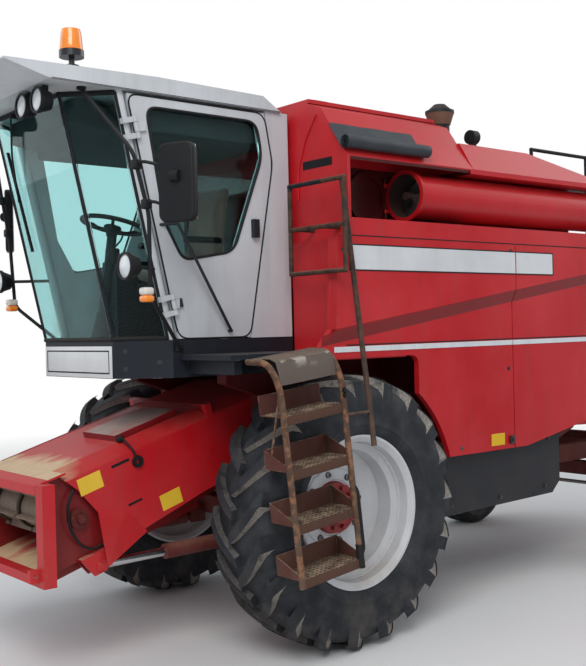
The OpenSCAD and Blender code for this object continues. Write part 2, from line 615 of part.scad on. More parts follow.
// Frame that the header hangs on, with a lug for a lock pin at each side
frame_half = 550;
frame_post = 80;
frame_depth = 75;
frame_low = 560;
frame_high = 1108;
lock_y = feeder_front - frame_depth - 25;
lock_z = 625;
lock_r = 15;
// Height of the house's top plane at a place along the machine
function top_plate_z(y) = pivot_z + (y - pivot_y) * tan(feeder_slope) + feeder_up / cos(feeder_slope);
module header_frame() place() color(red) {
    front = feeder_front - frame_depth;
    mouth = inner_half - wall;
    // The lip carries the top plate's slope on to the frame's front
    side_cut(-feeder_w / 2 - 15, feeder_w / 2 + 15) polygon([[front, top_plate_z(front)], [feeder_front - fit, top_plate_z(feeder_front - fit)],
        [feeder_front - fit, frame_high - 60], [front, frame_high - 60]]);
    span([-frame_half + 1, front, frame_low], [frame_half - 1, feeder_front - fit, frame_low + 50]);
    both() {
        span([frame_half - frame_post, front, frame_low - 1], [frame_half, feeder_front - fit, frame_high]);
        span([mouth, feeder_front - 18, frame_low + 1], [frame_half - 1, feeder_front - fit, frame_high - 59]);
        difference() {
            span([frame_half - frame_post, lock_y - 30, lock_z - 35], [frame_half - frame_post + 30, front + 1, lock_z + 35]);
            shaft_x(frame_half - frame_post - 10, frame_half - frame_post + 40, lock_y, lock_z, lock_r);
        }
    }
}

// Lift rams under the feeder house
ram_x = 400;
ram_foot = [-150, 620];
ram_eye = [-1340, 600];
ram_pin_r = 16;
// The eye's place in the feeder house's own lines
eye_off = ram_eye - [pivot_y, pivot_z];
eye_at = [eye_off[0] * cos(feeder_slope) + eye_off[1] * sin(feeder_slope), eye_off[1] * cos(feeder_slope) - eye_off[0] * sin(feeder_slope)];
module ram_frame() {
    d = ram_eye - ram_foot;
    translate([ram_x, ram_foot[0], ram_foot[1]]) rotate([atan2(d[1], d[0]), 0, 0]) children();
}
ram_len = norm(ram_eye - ram_foot);
module ram_barrel() color(dark_red) ram_frame() {
    shaft_x(-28, 28, 0, 0, 34);
    shaft_x(-47, 47, 0, 0, ram_pin_r - 0.05);
    rotate([-90, 0, 0]) difference() {
        union() {
            translate([0, 0, 10]) cylinder(r = 27, h = 54);
            translate([0, 0, 62]) cylinder(r = 45, h = ram_len * 0.6 - 42);
        }
        translate([0, 0, 80]) cylinder(r = 25.2, h = ram_len);
    }
}
module ram_rod() color(steel) ram_frame() {
    translate([0, ram_len, 0]) difference() {
        shaft_x(-28, 28, 0, 0, 33);
        shaft_x(-29, 29, 0, 0, ram_pin_r);
    }
    rotate([-90, 0, 0]) translate([0, 0, ram_len * 0.3]) cylinder(r = 25, h = ram_len * 0.7 - 25);
}
module ram_barrel_left() place() ram_barrel();
module ram_barrel_right() place() mirror([1, 0, 0]) ram_barrel();
module ram_rod_left() place() ram_rod();
module ram_rod_right() place() mirror([1, 0, 0]) ram_rod();

// Cab. Its front pane leans forward, with an angled pane at each side of it
cab_half = cab_w / 2;
pane_half = pane_w / 2;
cab_rear = -84;
lean = 0.222;                            // how far the front leans for each unit of height
front_low = -1205;
post_low = -965;
sill_low = 1645;
floor_t = 40;
function lean_y(y, z) = y - (z - sill_z) * lean;
module cab_plan(z, grow) polygon([[-cab_half - grow, cab_rear], [-cab_half - grow, lean_y(post_low, z)], [-pane_half - grow / 2, lean_y(front_low, z) - grow],
    [pane_half + grow / 2, lean_y(front_low, z) - grow], [cab_half + grow, lean_y(post_low, z)], [cab_half + grow, cab_rear]]);
module cab_base() place() color(navy) {
    translate([0, 0, sill_low]) linear_extrude(sill_z - sill_low) cab_plan(sill_z, 4);
    // Console beside the seat
    span([-480, -760, sill_z - 1], [-300, -280, sill_z + 520]);
}
post = 55;
corner_r = 9;                            // bars at the front pane's corners
module pillar(a, b, r) hull() {
    translate([a[0], a[1], sill_z + fit]) cylinder(r = r, h = 2, $fn = 16);
    translate([b[0], b[1], roof_z - 2 - fit]) cylinder(r = r, h = 2, $fn = 16);
}
module cab_frame() place() {
    color(pale) {
        for (s = [-1, 1]) {
            pillar([s * pane_half, front_low + 4], [s * pane_half, lean_y(front_low, roof_z) + 4], corner_r);
            pillar([s * (cab_half - 34), post_low + 10], [s * (cab_half - 34), lean_y(post_low, roof_z) + 10], post / 2);
            // Rear side panel, wider below
            side_cut(s > 0 ? cab_half - 34 : -cab_half, s > 0 ? cab_half : -cab_half + 34) polygon([
                [door_rear(sill_z) + run, sill_z + fit], [door_rear(2920) + run, 2920], [door_rear(roof_z) + run, roof_z - fit], [cab_rear, roof_z - fit], [cab_rear, sill_z + fit]]);
        }
        // Rear wall with its window
        difference() {
            span([-cab_half + 33, cab_rear - 34, sill_z + fit], [cab_half - 33, cab_rear - 6, roof_z - fit]);
            span([-460, cab_rear - 60, 2420], [460, cab_rear, 3100]);
        }
        // The right side has the door's outline and does not open
        mirror([1, 0, 0]) side_cut(cab_half - door_t, cab_half) difference() {
            polygon([[post_low + 28, sill_z + fit], [lean_y(post_low, roof_z) + 28, roof_z - fit], [door_rear(roof_z) + run + 2, roof_z - fit],
                [door_rear(2920) + run + 2, 2920], [door_rear(sill_z) + run + 2, sill_z + fit]]);
            window_outline();
        }
    }
    // Fixed halves of the door's hinges
    color(navy) for (z = hinge_heights) at_hinge(z) {
        translate([0, 0, -60]) cylinder(r = 7.95, h = 120);
        for (low = [-60, 30]) {
            translate([0, 0, low]) cylinder(r = 14, h = 30);
            span([-35, -75, low], [0, -14, low + 30]);
            span([-14, -20, low], [0, 0, low + 30]);
        }
    }
}
hinge_heights = [2060, 3040];
module at_hinge(z) translate([cab_half + 16, lean_y(post_low, z) + 52, z]) rotate([atan(lean), 0, 0]) children();
function door_rear(z) = z < 2920 ? -410 + (z - sill_z) / (2920 - sill_z) * 200 : -210 - (z - 2920) / (roof_z - 2920) * 60;
door_t = 34;
door_gap = 6;
door_top = roof_z - 14;
module door_outline() polygon([[post_low + 44, sill_z + door_gap], [lean_y(post_low, door_top) + 44, door_top],
    [door_rear(door_top), door_top], [door_rear(2920), 2920], [door_rear(sill_z), sill_z + door_gap]]);
window = [[-1000, 2530], [-1105, 3165], [-330, 3165], [-292, 2956], [-520, 2375], [-880, 2315]];
module window_outline() polygon(window);
// The pane is a hair smaller than its opening, round the opening's middle
module window_pane() {
    middle = [-690, 2740];
    polygon([for (p = window) middle + (p - middle) * 0.9988]);
}
module cab_door() place() {
    color(pale) side_cut(cab_half - door_t, cab_half) difference() {
        door_outline();
        window_outline();
    }
    color(navy) {
        span([cab_half - 1, -385, 2462], [cab_half + 34, -345, 2572]);
        // Grab bar
        rail([[cab_half - 8, -1030, 2510], [cab_half + 70, -955, 2515], [cab_half + 26, -570, 1905], [cab_half - 8, -570, 1905]], 9);
        for (z = hinge_heights) at_hinge(z) difference() {
            union() {
                translate([0, 0, -25]) cylinder(r = 14, h = 50);
                span([-22, 0, -25], [0, 60, 25]);
            }
            translate([0, 0, -26]) cylinder(r = 8, h = 52);
        }
    }
}
module door_glass() place() color(glass) side_cut(cab_half - door_t / 2 - glass_t / 2, cab_half - door_t / 2 + glass_t / 2) window_pane();

module pane(a_low, b_low) {
    // A leaning pane between two low corners
    hull() for (p = [a_low, b_low]) {
        translate([p[0], p[1], sill_z + fit]) cylinder(r = glass_t / 2, h = 1, $fn = 8);
        translate([p[0], lean_y(p[1], roof_z), roof_z - 1 - fit]) cylinder(r = glass_t / 2, h = 1, $fn = 8);
    }
}
module cab_glass() place() color(glass) {
    edge = corner_r + glass_t / 2 + 1;
    pane([-pane_half + edge, front_low], [pane_half - edge, front_low]);
    for (s = [-1, 1]) pane([s * (pane_half + edge * 0.8), front_low + 4 + edge * 0.8], [s * (cab_half - 44), post_low - 24]);
    span([-460 + fit, cab_rear - 24, 2420 + fit], [460 - fit, cab_rear - 16, 3100 - fit]);
    mirror([1, 0, 0]) side_cut(cab_half - door_t / 2 - glass_t / 2, cab_half - door_t / 2 + glass_t / 2) window_pane();
}

module cab_roof() place() color(pale) {
    side_cut(-cab_half - 20, cab_half + 20) polygon([[cab_rear - 60, roof_z], [cab_rear - 200, roof_z + roof_t], [-1030, roof_z + roof_t + 10],
        [visor_tip_y, roof_z + roof_t - 10], [visor_tip_y, roof_z + 66], [-1690, roof_z]]);
    span([-380, -960, roof_z + roof_t - 1], [380, -420, roof_z + roof_t + 45]);
}

module seat() place() {
    color([0.35, 0.22, 0.16]) {
        span([-240, -700, sill_z + 360], [240, -240, sill_z + 470]);
        translate([-230, -330, sill_z + 460]) rotate([-8, 0, 0]) cube([460, 90, 560]);
    }
    color(navy) span([-150, -620, sill_z + fit], [150, -320, sill_z + 361]);
}

module steering() place() color(navy) {
    span([-60, -1100, sill_z + fit], [60, -1000, sill_z + 20]);
    bar([0, -1050, sill_z + 18], [0, -955, sill_z + 630], 34);
    translate([0, -950, sill_z + 640]) rotate([14, 0, 0]) {
        rotate_extrude() translate([180, 0]) circle(r = 15);
        for (a = [0, 120, 240]) rotate([0, 0, a]) translate([-14, 0, -8]) cube([28, 182, 12]);
        cylinder(r = 45, h = 30, center = true);
    }
}

// Mirrors, each on a tube from the roof to the floor's edge
module mirror_set() color(navy) {
    head = [1050, -1150, 2690];
    tube = [[600, -1462, roof_z - 12], [850, -1300, 2870], [880, -1230, 2540], [855, -1215, 2100], [cab_half + 20, -930, 1815]];
    translate([600, -1462, roof_z - 14]) cylinder(r = 26, h = 14 - fit);
    rail(tube, 11);
    span([cab_half + 4 + fit, -955, 1795], [cab_half + 22, -905, 1835]);
    for (z = [2800, 2590]) bar([z > 2700 ? 856 : 875, z > 2700 ? -1286 : -1242, z], [968, -1184, z - 15], 9);
    translate(head) rotate([0, 0, 25]) translate([-110, -25, -210]) cube([220, 50, 420]);
    // Marker lamp on the tube
    translate([855, -1240, 2080]) cylinder(r = 34, h = 60);
}
module mirrors() place() both() mirror_set();

module work_lamps() place() color(navy) {
    for (x = [-520, -330, 330, 520]) {
        translate([x, -1610, roof_z - 82]) rotate([90, 0, 0]) cylinder(r1 = 50, r2 = 70, h = 70);
        span([x - 12, -1650, roof_z - 60], [x + 12, -1620, roof_z - fit]);
    }
    both() {
        translate([810, -1270, 2262]) rotate([90, 0, 0]) cylinder(r1 = 50, r2 = 74, h = 70);
        bar([653.4, -1068.9, 2262], [800, -1278, 2262], 10);
    }
    // Lamp on the engine hood's edge
    translate([1000, 1280, hood_z + fit]) cylinder(r = 28, h = 30);
    translate([1000, 1250, hood_z + 68]) rotate([-90, 0, 0]) cylinder(r = 48, h = 60);
}

module beacon() place() translate([cab_half - 40, -1530, roof_z + roof_t + fit]) {
    color(navy) {
        cylinder(r = 40, h = 12);
        cylinder(r = 16, h = 60);
        translate([0, 0, 55]) cylinder(r = 66, h = 36);
    }
    color([0.95, 0.45, 0.05]) translate([0, 0, 90]) cylinder(r1 = 60, r2 = 50, h = 112);
}

// Platform, ladder and rails on the left
platform_z = 1775;
module platform() place() {
    color(navy) span([cab_half + 10, -920, platform_z - 30], [half_w - 5, -270, platform_z]);
    color(dark_red) for (y = [-860, -400]) span([cab_half + 4 + fit, y, platform_z - 110], [half_w - 60, y + 50, platform_z - 29]);
}
module ladder_frame() translate([0, -600, platform_z]) rotate([ladder_lean, 0, 0]) children();
ladder_drop = tread_pitch * tread_count;
rung_r = 17;
ladder_out_x = ladder_in_x + ladder_depth - rung_r - 1.5;
module ladder() place() ladder_frame() color(rust) {
    x0 = ladder_in_x;
    for (s = [-1, 1]) {
        y = s * (ladder_w / 2 - 15);
        rail([[half_w - 5 + fit, y, -18], [x0 + 120, y, -20], [ladder_out_x, y, -150], [ladder_out_x, y, -ladder_drop - 60]], rung_r);
    }
    for (i = [1 : tread_count]) {
        z = -tread_pitch * i - 20;
        span([x0, -ladder_w / 2 + 10, z], [ladder_out_x, ladder_w / 2 - 10, z + 6]);
        span([ladder_out_x - 6, -ladder_w / 2 + 10, z - 45], [ladder_out_x, ladder_w / 2 - 10, z + 1]);
        span([x0, -ladder_w / 2 + 10, z], [x0 + 6, ladder_w / 2 - 10, z + 110]);
    }
    span([half_w + 10, -ladder_w / 2 + 10, -16], [x0 + 110, ladder_w / 2 - 10, -8]);
}
// Grab frame beside the door with the long rail down to the ladder
grab_y = -185;
grab_in = 800;
grab_out = 1285;
module handrails() place() {
    color(rust) {
        // Frame, its middle bar and the stubs that hold it on the tank and the side panel
        for (z = [2235, 2500, 2765]) bar([grab_in, grab_y, z], [grab_out, grab_y, z], 14);
        for (x = [grab_in, grab_out]) {
            bar([x, grab_y, 2235], [x, grab_y, 2765], 14);
            for (z = [2235, 2765]) translate([x, grab_y, z]) sphere(r = 15.5, $fn = 24);
        }
        for (x = [grab_in + 60, half_w - 80]) bar([x, grab_y, 2500], [x, tank_front - fit, 2500], 12);
        // Long rail, from the tank's corner past the ladder
        rail([[half_w - 22, tank_front - fit, 2773], [half_w - 22, -72, 2773], [1404, -110, 1235]], 16);
        bar([1372.3, -105, 1427], [1417.6, -326.5, 1427], 9);
    }
    color(navy) both() rail([[760, 2250, hood_z - hood_fall * 450 / 820 + 4], [760, 2250, 3230], [760, 2960, 3230], [760, 2960, ledge_z + fit]], 14);
}

chassis();
front_axle();
threshing_body();
grain_tank();
tank_lid_left();
tank_lid_right();
tarp_roll();
unloading_auger();
side_panel_left();
side_panel_right();
side_door_left();
side_door_right();
lower_guards();
engine();
engine_hood();
air_intake();
straw_hood();
rear_axle();
knuckle_left();
knuckle_right();
rear_rim_left();
rear_rim_right();
rear_tyre_left();
rear_tyre_right();
tie_rod();
front_rim_left();
front_rim_right();
front_tyre_left();
front_tyre_right();
feeder_house();
feeder_conveyor();
header_frame();
ram_barrel_left();
ram_barrel_right();
ram_rod_left();
ram_rod_right();
cab_base();
cab_frame();
cab_roof();
cab_glass();
cab_door();
door_glass();
seat();
steering();
mirrors();
work_lamps();
beacon();
platform();
ladder();
handrails();
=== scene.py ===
import json
import math
import random
from contextlib import contextmanager

import bmesh
import bpy
from bpy.props import FloatProperty, FloatVectorProperty, IntProperty, PointerProperty
from mathutils import Matrix, Vector


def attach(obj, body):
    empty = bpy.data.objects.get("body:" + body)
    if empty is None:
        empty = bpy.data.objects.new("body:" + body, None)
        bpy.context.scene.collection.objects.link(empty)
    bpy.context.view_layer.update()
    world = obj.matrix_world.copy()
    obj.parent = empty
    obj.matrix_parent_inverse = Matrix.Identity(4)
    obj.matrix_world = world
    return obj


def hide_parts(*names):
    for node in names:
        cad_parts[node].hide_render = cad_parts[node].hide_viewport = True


bl_info = {
    "name": "Combine harvester",
    "version": (1, 0, 0),
    "blender": (4, 5, 0),
    "location": "View3D > Sidebar > Harvester",
    "description": "Dresses the combine harvester's frame with its tyres, ladder, cab trim and finishes",
    "category": "Object",
}

# The frame, its box, and the axle that the machine's own lines start from
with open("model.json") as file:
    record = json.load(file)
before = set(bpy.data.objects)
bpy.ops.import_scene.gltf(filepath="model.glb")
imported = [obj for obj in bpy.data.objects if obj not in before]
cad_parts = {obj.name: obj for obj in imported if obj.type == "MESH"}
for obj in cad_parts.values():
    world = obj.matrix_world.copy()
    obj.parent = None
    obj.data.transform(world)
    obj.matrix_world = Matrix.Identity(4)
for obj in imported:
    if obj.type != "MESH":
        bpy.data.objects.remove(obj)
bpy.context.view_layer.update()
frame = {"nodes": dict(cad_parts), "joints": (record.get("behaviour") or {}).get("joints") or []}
PLACES = {joint["name"]: Vector(joint["pos_m"]) for joint in frame["joints"] if "pos_m" in joint}
LEFT_HUB = PLACES["front_wheel_left_spin"]
RIGHT_HUB = PLACES["front_wheel_right_spin"]
REAR_HUB = PLACES["rear_wheel_left_spin"]
AXLE = (LEFT_HUB + RIGHT_HUB) / 2
AXLE.z = 0.0

# Lines of the body that several pieces follow, in metres: from the middle, from the axle, above the ground
HALF_WIDTH = 1.17
PANEL_X = 1.13
CAB_X = 0.67
SILL_Z = 1.86
ROOF_Z = 3.24
ROOF_RISE = 0.085
LEAN = 0.222
GLASS_Y = -1.206
TANK_FRONT = -0.05
COVER_Z = 2.925
AUGER = Vector((1.0, 0.622, 2.740))
SKIN_GAP = 0.0002

# Lines that sloping pieces are drawn in: the feeder house from its hinge, the ladder from the platform
PIVOT = PLACES["feeder_lift"] - AXLE
FEEDER = Matrix.Translation((0.0, PIVOT.y, PIVOT.z)) @ Matrix.Rotation(math.radians(16.5), 4, "X")
LADDER = Matrix.Translation((0.0, -0.60, 1.775)) @ Matrix.Rotation(math.radians(6.5), 4, "X")
HOOD_END = Matrix.Translation((0, 4.800, 1.710)) @ Matrix.Rotation(math.radians(27.3), 4, "X")

# Panel defaults that the finishes' own values are written for
EDGE_DEFAULT = 0.5
DUST_DEFAULT = 0.35


def sized(name, default, low, high, words):
    """A length in metres for the panel."""
    return FloatProperty(name=name, description=words, default=default, min=low, max=high, unit="LENGTH")


def tinted(name, default, words):
    """A colour for the panel."""
    return FloatVectorProperty(name=name, description=words, default=default, min=0.0, max=1.0, size=3,
                               subtype="COLOR")


class HarvesterColours(bpy.types.PropertyGroup):
    """Colours of the harvester's finishes."""
    red: tinted("Red", (0.52, 0.010, 0.016), "Faded red paint of the covers")
    # Dark red is the chassis's paint, and also painted shade on the side covers' inner faces and inside the
    # tank's recess
    dark_red: tinted("Dark red", (0.105, 0.004, 0.006), "Paint of the chassis and of shaded panels")
    pale: tinted("Pale grey", (0.56, 0.58, 0.60), "Paint of the cab")
    navy: tinted("Blue-black", (0.011, 0.014, 0.021), "Paint of the cab's base and guards")
    silver: tinted("Silver", (0.62, 0.63, 0.65), "Paint of the rims")
    rust: tinted("Rust", (0.085, 0.040, 0.026), "Rusted paint of the ladder and rails")
    rubber: tinted("Rubber", (0.013, 0.015, 0.019), "Tyre rubber")
    soil: tinted("Soil", (0.33, 0.245, 0.165), "Dry soil and dust")
    glass: tinted("Glass", (0.60, 0.84, 0.84), "Tint of the cab's glass")
    amber: tinted("Amber", (0.95, 0.26, 0.015), "Warning lamp and marker lenses")
    sticker: tinted("Sticker yellow", (0.80, 0.50, 0.03), "Blank warning plates")


class HarvesterTyres(bpy.types.PropertyGroup):
    """Sizes of the tyres."""
    radius: sized("Radius", LEFT_HUB.z, 0.76, 0.86, "Front tyre, at the tips of its lugs")
    width: sized("Width", 0.466, 0.42, 0.50, "Section width of the front tyre")
    lug_height: sized("Lug height", 0.038, 0.02, 0.048, "Height of the front lugs")
    lugs: IntProperty(name="Lugs", description="Lugs on each side of a front tyre", default=19, min=14, max=22)
    rear_radius: sized("Rear radius", REAR_HUB.z, 0.38, 0.45, "Rear tyre")
    rear_width: sized("Rear width", 0.29, 0.24, 0.31, "Section width of the rear tyre")


class HarvesterWear(bpy.types.PropertyGroup):
    """How worn and dusty the machine is."""
    edge: FloatProperty(name="Edge wear", description="Paint rubbed off along edges", default=EDGE_DEFAULT,
                        min=0.0, max=1.0)
    dust: FloatProperty(name="Dust", description="Dust settled on the paint", default=DUST_DEFAULT, min=0.0,
                        max=1.0)


def colours():
    """The panel's colours."""
    return bpy.context.scene.harvester_colours


def shade(colour, factor):
    """The same colour, lighter or darker."""
    return tuple(min(1.0, part * factor) for part in colour)


# Shader nodes

class Value:
    """A number that varies over a surface. Arithmetic with it adds nodes to its tree."""

    def __init__(self, socket):
        self.socket = socket

    def math(self, operation, *others, **settings):
        inputs = dict(enumerate((self, *others)))
        node = put(self.socket.id_data, "ShaderNodeMath", inputs, operation=operation, **settings)
        return Value(node.outputs[0])

    def __add__(self, other):
        return self.math("ADD", other)

    def __sub__(self, other):
        return self.math("SUBTRACT", other)

    def __mul__(self, other):
        return self.math("MULTIPLY", other)

    def __abs__(self):
        return self.math("ABSOLUTE")

    def __gt__(self, other):
        return self.math("GREATER_THAN", other)

    def __lt__(self, other):
        return self.math("LESS_THAN", other)

    def larger(self, other):
        return self.math("MAXIMUM", other)

    def within(self, low, high):
        """1 where it lies between two limits."""
        return (self > low) * (self < high)

    def limited(self):
        """Kept between 0 and 1."""
        return self.math("ADD", 0.0, use_clamp=True)

    def ramp(self, low, high):
        """0 where it is at most low, 1 where it is at least high."""
        inputs = {"Value": self, "From Min": low, "From Max": high}
        return Value(put(self.socket.id_data, "ShaderNodeMapRange", inputs).outputs["Result"])


def feed(node, inputs):
    """Sets a node's inputs, or links them to a Value, a socket or another node's first output."""
    for name, value in inputs.items():
        socket = node.inputs[name]
        if isinstance(value, Value):
            value = value.socket
        elif isinstance(value, bpy.types.Node):
            value = value.outputs[0]
        if isinstance(value, bpy.types.NodeSocket):
            node.id_data.links.new(value, socket)
        else:
            socket.default_value = (*value[:3], 1.0) if socket.type == "RGBA" else value


def put(tree, kind, inputs=None, **settings):
    """Adds a node, sets it and feeds it."""
    node = tree.nodes.new(kind)
    for name, value in settings.items():
        setattr(node, name, value)
    feed(node, inputs or {})
    return node


def mixed(factor, first, second):
    """A colour between two colours."""
    return put(factor.socket.id_data, "ShaderNodeMix", {0: factor, 6: first, 7: second},
               data_type="RGBA").outputs[2]


def noise(place, scale, detail=4.0, stretch=None):
    """Noise on a place, drawn out along an axis if stretch says so."""
    if stretch:
        place = put(place.id_data, "ShaderNodeMapping", {"Vector": place, "Scale": stretch}).outputs[0]
    inputs = {"Vector": place, "Scale": scale, "Detail": detail, "Roughness": 0.6}
    return Value(put(place.id_data, "ShaderNodeTexNoise", inputs).outputs["Fac"])


def threads(place, scale, axes, distortion=0.0):
    """Fine waves along each of the axes."""
    inputs = {"Vector": place, "Scale": scale, "Distortion": distortion}
    return [Value(put(place.id_data, "ShaderNodeTexWave", inputs, bands_direction=axis).outputs["Fac"])
            for axis in axes]


def machine_place(tree):
    """The surface's place on the machine, from its middle and its front axle."""
    place = put(tree, "ShaderNodeTexCoord").outputs["Object"]
    return put(tree, "ShaderNodeVectorMath", {0: place, 1: AXLE}, operation="SUBTRACT").outputs[0]


def parts_of(vector):
    """The x, y and z of a vector."""
    return [Value(part) for part in put(vector.id_data, "ShaderNodeSeparateXYZ", {0: vector}).outputs]


def facing_up(tree):
    """1 where a surface faces up, 0 where it stands."""
    return parts_of(put(tree, "ShaderNodeNewGeometry").outputs["True Normal"])[2]


def distance(first, second):
    """How far a place lies from a point in a plane."""
    return (first * first + second * second).math("SQRT")


def bumped(height, strength, reach):
    """The normal of a surface with this height."""
    inputs = {"Strength": strength, "Distance": reach, "Height": height}
    return put(height.socket.id_data, "ShaderNodeBump", inputs)


def node_group(name, defaults, build):
    """A node group, made on its first use. build gets its tree and inputs and returns its outputs."""
    if name in bpy.data.node_groups:
        return bpy.data.node_groups[name]
    tree = bpy.data.node_groups.new(name, "ShaderNodeTree")
    for title, value in defaults.items():
        socket = tree.interface.new_socket(title, in_out="INPUT", socket_type="NodeSocketFloat")
        socket.default_value = value
    given = put(tree, "NodeGroupInput").outputs
    results = build(tree, {title: Value(given[title]) for title in defaults})
    for title in results:
        tree.interface.new_socket(title, in_out="OUTPUT", socket_type="NodeSocketFloat")
    feed(put(tree, "NodeGroupOutput"), results)
    return tree


def weathering(tree, given):
    """Masks for rubbed edges, settled dust and rain streaks, and a slow mottle."""
    place = machine_place(tree)
    normal = put(tree, "ShaderNodeNewGeometry").outputs["True Normal"]
    rounded = put(tree, "ShaderNodeBevel", {"Radius": given["Edge Width"]}, samples=4)
    facing = put(tree, "ShaderNodeVectorMath", {0: rounded, 1: normal}, operation="DOT_PRODUCT")
    limit = given["Edge Wear"] * -0.45 + 0.85
    rubbed = noise(place, 9.0, 8.0).ramp(limit, limit + 0.06)
    low = parts_of(place)[2].ramp(given["Dust Height"], 0.1)
    amount = parts_of(normal)[2].ramp(0.25, 0.95) * 0.75 + low * 0.65
    dusty = amount * noise(place, 3.1, 9.0).ramp(0.33, 0.68)
    return {"Wear": Value(facing.outputs["Value"]).ramp(0.995, 0.90) * rubbed,
            "Dust": (dusty * given["Dust"] * 2.0).limited(),
            "Streaks": noise(place, 14.0, 5.0, (1.0, 1.0, 0.05)).ramp(0.48, 0.72),
            "Mottle": noise(place, 1.3, 5.0)}


def surface_grain(tree, given):
    """Fine height of a surface: broad waves of the sheet and small grain on it."""
    place = machine_place(tree)
    grain = noise(place, given["Grain Scale"], 2.0) * given["Grain"]
    return {"Height": noise(place, 2.2, 2.0) * given["Waves"] + grain * 0.02}


def grained(tree, strength, waves, grain, scale=260.0):
    """The normal of a surface with waves and grain."""
    group = node_group("Surface grain", {"Waves": 0.3, "Grain": 0.3, "Grain Scale": 260.0}, surface_grain)
    height = put(tree, "ShaderNodeGroup", {"Waves": waves, "Grain": grain, "Grain Scale": scale},
                 node_tree=group).outputs[0]
    return bumped(Value(height), strength, 0.01)


# Kinds of finish: each dresses a material's shader

def coated(shader, colour, roughness, dust, dust_height=1.0, streak=0.25, edge=0.5, under=(0.20, 0.16, 0.14),
           metallic=0.0, coat=0.0, waves=0.3, grain=0.3, bump=0.35, regions=None):
    """Worn and dusty paint, or another coating, over what lies under it.

    regions colours parts of a piece: it gets the place on the machine, its x, y and z, and the colour so far.
    """
    tree = shader.id_data
    wear = bpy.context.scene.harvester_wear
    defaults = {"Edge Wear": 0.5, "Edge Width": 0.006, "Dust": 0.35, "Dust Height": 1.0}
    masks = put(tree, "ShaderNodeGroup", {"Edge Wear": edge * wear.edge / EDGE_DEFAULT,
                                          "Dust": dust * wear.dust / DUST_DEFAULT, "Dust Height": dust_height},
                node_tree=node_group("Weathering", defaults, weathering)).outputs
    place = machine_place(tree)
    base = regions(place, *parts_of(place), colour) if regions else colour
    deep, faded = [put(tree, "ShaderNodeHueSaturation", {"Saturation": strength, "Value": value, "Color": base})
                   for strength, value in ((1.04, 0.88), (0.97, 1.08))]
    mottle, settled = Value(masks["Mottle"]).ramp(0.3, 0.7), Value(masks["Dust"])
    grimy = mixed(Value(masks["Streaks"]) * streak, mixed(mottle, deep, faded), shade(colours().soil, 0.25))
    worn = mixed(Value(masks["Wear"]), grimy, under)
    feed(shader, {"Base Color": mixed(settled * 0.8, worn, colours().soil),
                  "Roughness": (settled * 0.45 + mottle * 0.10 + roughness).limited(),
                  "Metallic": metallic, "Specular IOR Level": 0.28, "Coat Weight": coat, "Coat Roughness": 0.15,
                  "Normal": grained(tree, bump, waves, grain)})


def moulded_lens(shader, colour):
    """A ribbed lens with dirt in its hollows."""
    place = machine_place(shader.id_data)
    dirt = noise(place, 30.0, 5.0).ramp(0.45, 0.8)
    feed(shader, {"Base Color": mixed(dirt * 0.25, colour, shade(colours().soil, 0.6)),
                  "Roughness": dirt * 0.35 + 0.12, "Coat Weight": 0.6,
                  "Normal": bumped(threads(place, 30.0, "X")[0], 0.15, 0.002)})


def clear_pane(shader, colour):
    """Tinted see-through glass with dust towards its lower edge."""
    place = machine_place(shader.id_data)
    dust = (parts_of(place)[2].ramp(2.35, 1.9) * 0.35 + 0.04) * noise(place, 4.0, 6.0).ramp(0.45, 0.75)
    feed(shader, {"Base Color": mixed(dust, colour, shade(colours().soil, 1.3)),
                  "Roughness": (dust * 0.5 + 0.01).limited(), "Transmission Weight": 1.0, "IOR": 1.2})


def dusty_rubber(shader, colour):
    """Tyre rubber with dry soil in its hollows and pale worn lug sides."""
    place = machine_place(shader.id_data)
    sides = Value(put(shader.id_data, "ShaderNodeAttribute", attribute_name="lug_side").outputs["Fac"])
    cloud, fine = noise(place, 7.0, 7.0), noise(place, 60.0, 4.0)
    base = mixed(cloud.ramp(0.35, 0.75), colour, (0.034, 0.039, 0.047))
    pale = mixed(fine.ramp(0.35, 0.7), (0.30, 0.265, 0.23), (0.15, 0.135, 0.125))
    worn = mixed(sides * noise(place, 9.0, 6.0).ramp(0.28, 0.46), base, pale)
    soil = (parts_of(place)[2].ramp(0.55, 0.0) * 0.30 + 0.07) * cloud.ramp(0.45, 0.70)
    feed(shader, {"Base Color": mixed(soil, worn, shade(colours().soil, 0.5)), "Specular IOR Level": 0.3,
                  "Roughness": (fine * 0.30 + 0.50).limited(),
                  "Normal": grained(shader.id_data, 0.5, 0.1, 0.9, 190.0)})


def woven_cloth(shader, colour):
    """Woven seat cloth, a little faded."""
    place = machine_place(shader.id_data)
    across, along = threads(place, 120.0, "XZ", 0.4)
    weave, cloud = across * along, noise(place, 5.0, 5.0)
    base = mixed(cloud.ramp(0.3, 0.7), colour, (0.25, 0.13, 0.10))
    feed(shader, {"Base Color": mixed(weave * 0.5, base, (0.07, 0.03, 0.022)), "Sheen Weight": 0.3,
                  "Roughness": cloud * 0.15 + 0.80, "Normal": bumped(weave, 0.4, 0.002)})


def coated_cloth(shader, colour):
    """Dark coated tarpaulin with scuffs."""
    place = machine_place(shader.id_data)
    cloud = noise(place, 6.0, 7.0)
    scuff = noise(place, 40.0, 6.0, (1.0, 0.2, 1.0)).ramp(0.58, 0.72)
    base = mixed(cloud.ramp(0.3, 0.7), colour, (0.026, 0.033, 0.043))
    across, along = threads(place, 150.0, "YZ")
    feed(shader, {"Base Color": mixed(scuff * 0.35, base, (0.16, 0.15, 0.14)), "Roughness": cloud * 0.3 + 0.38,
                  "Normal": bumped(across + along, 0.2, 0.001)})
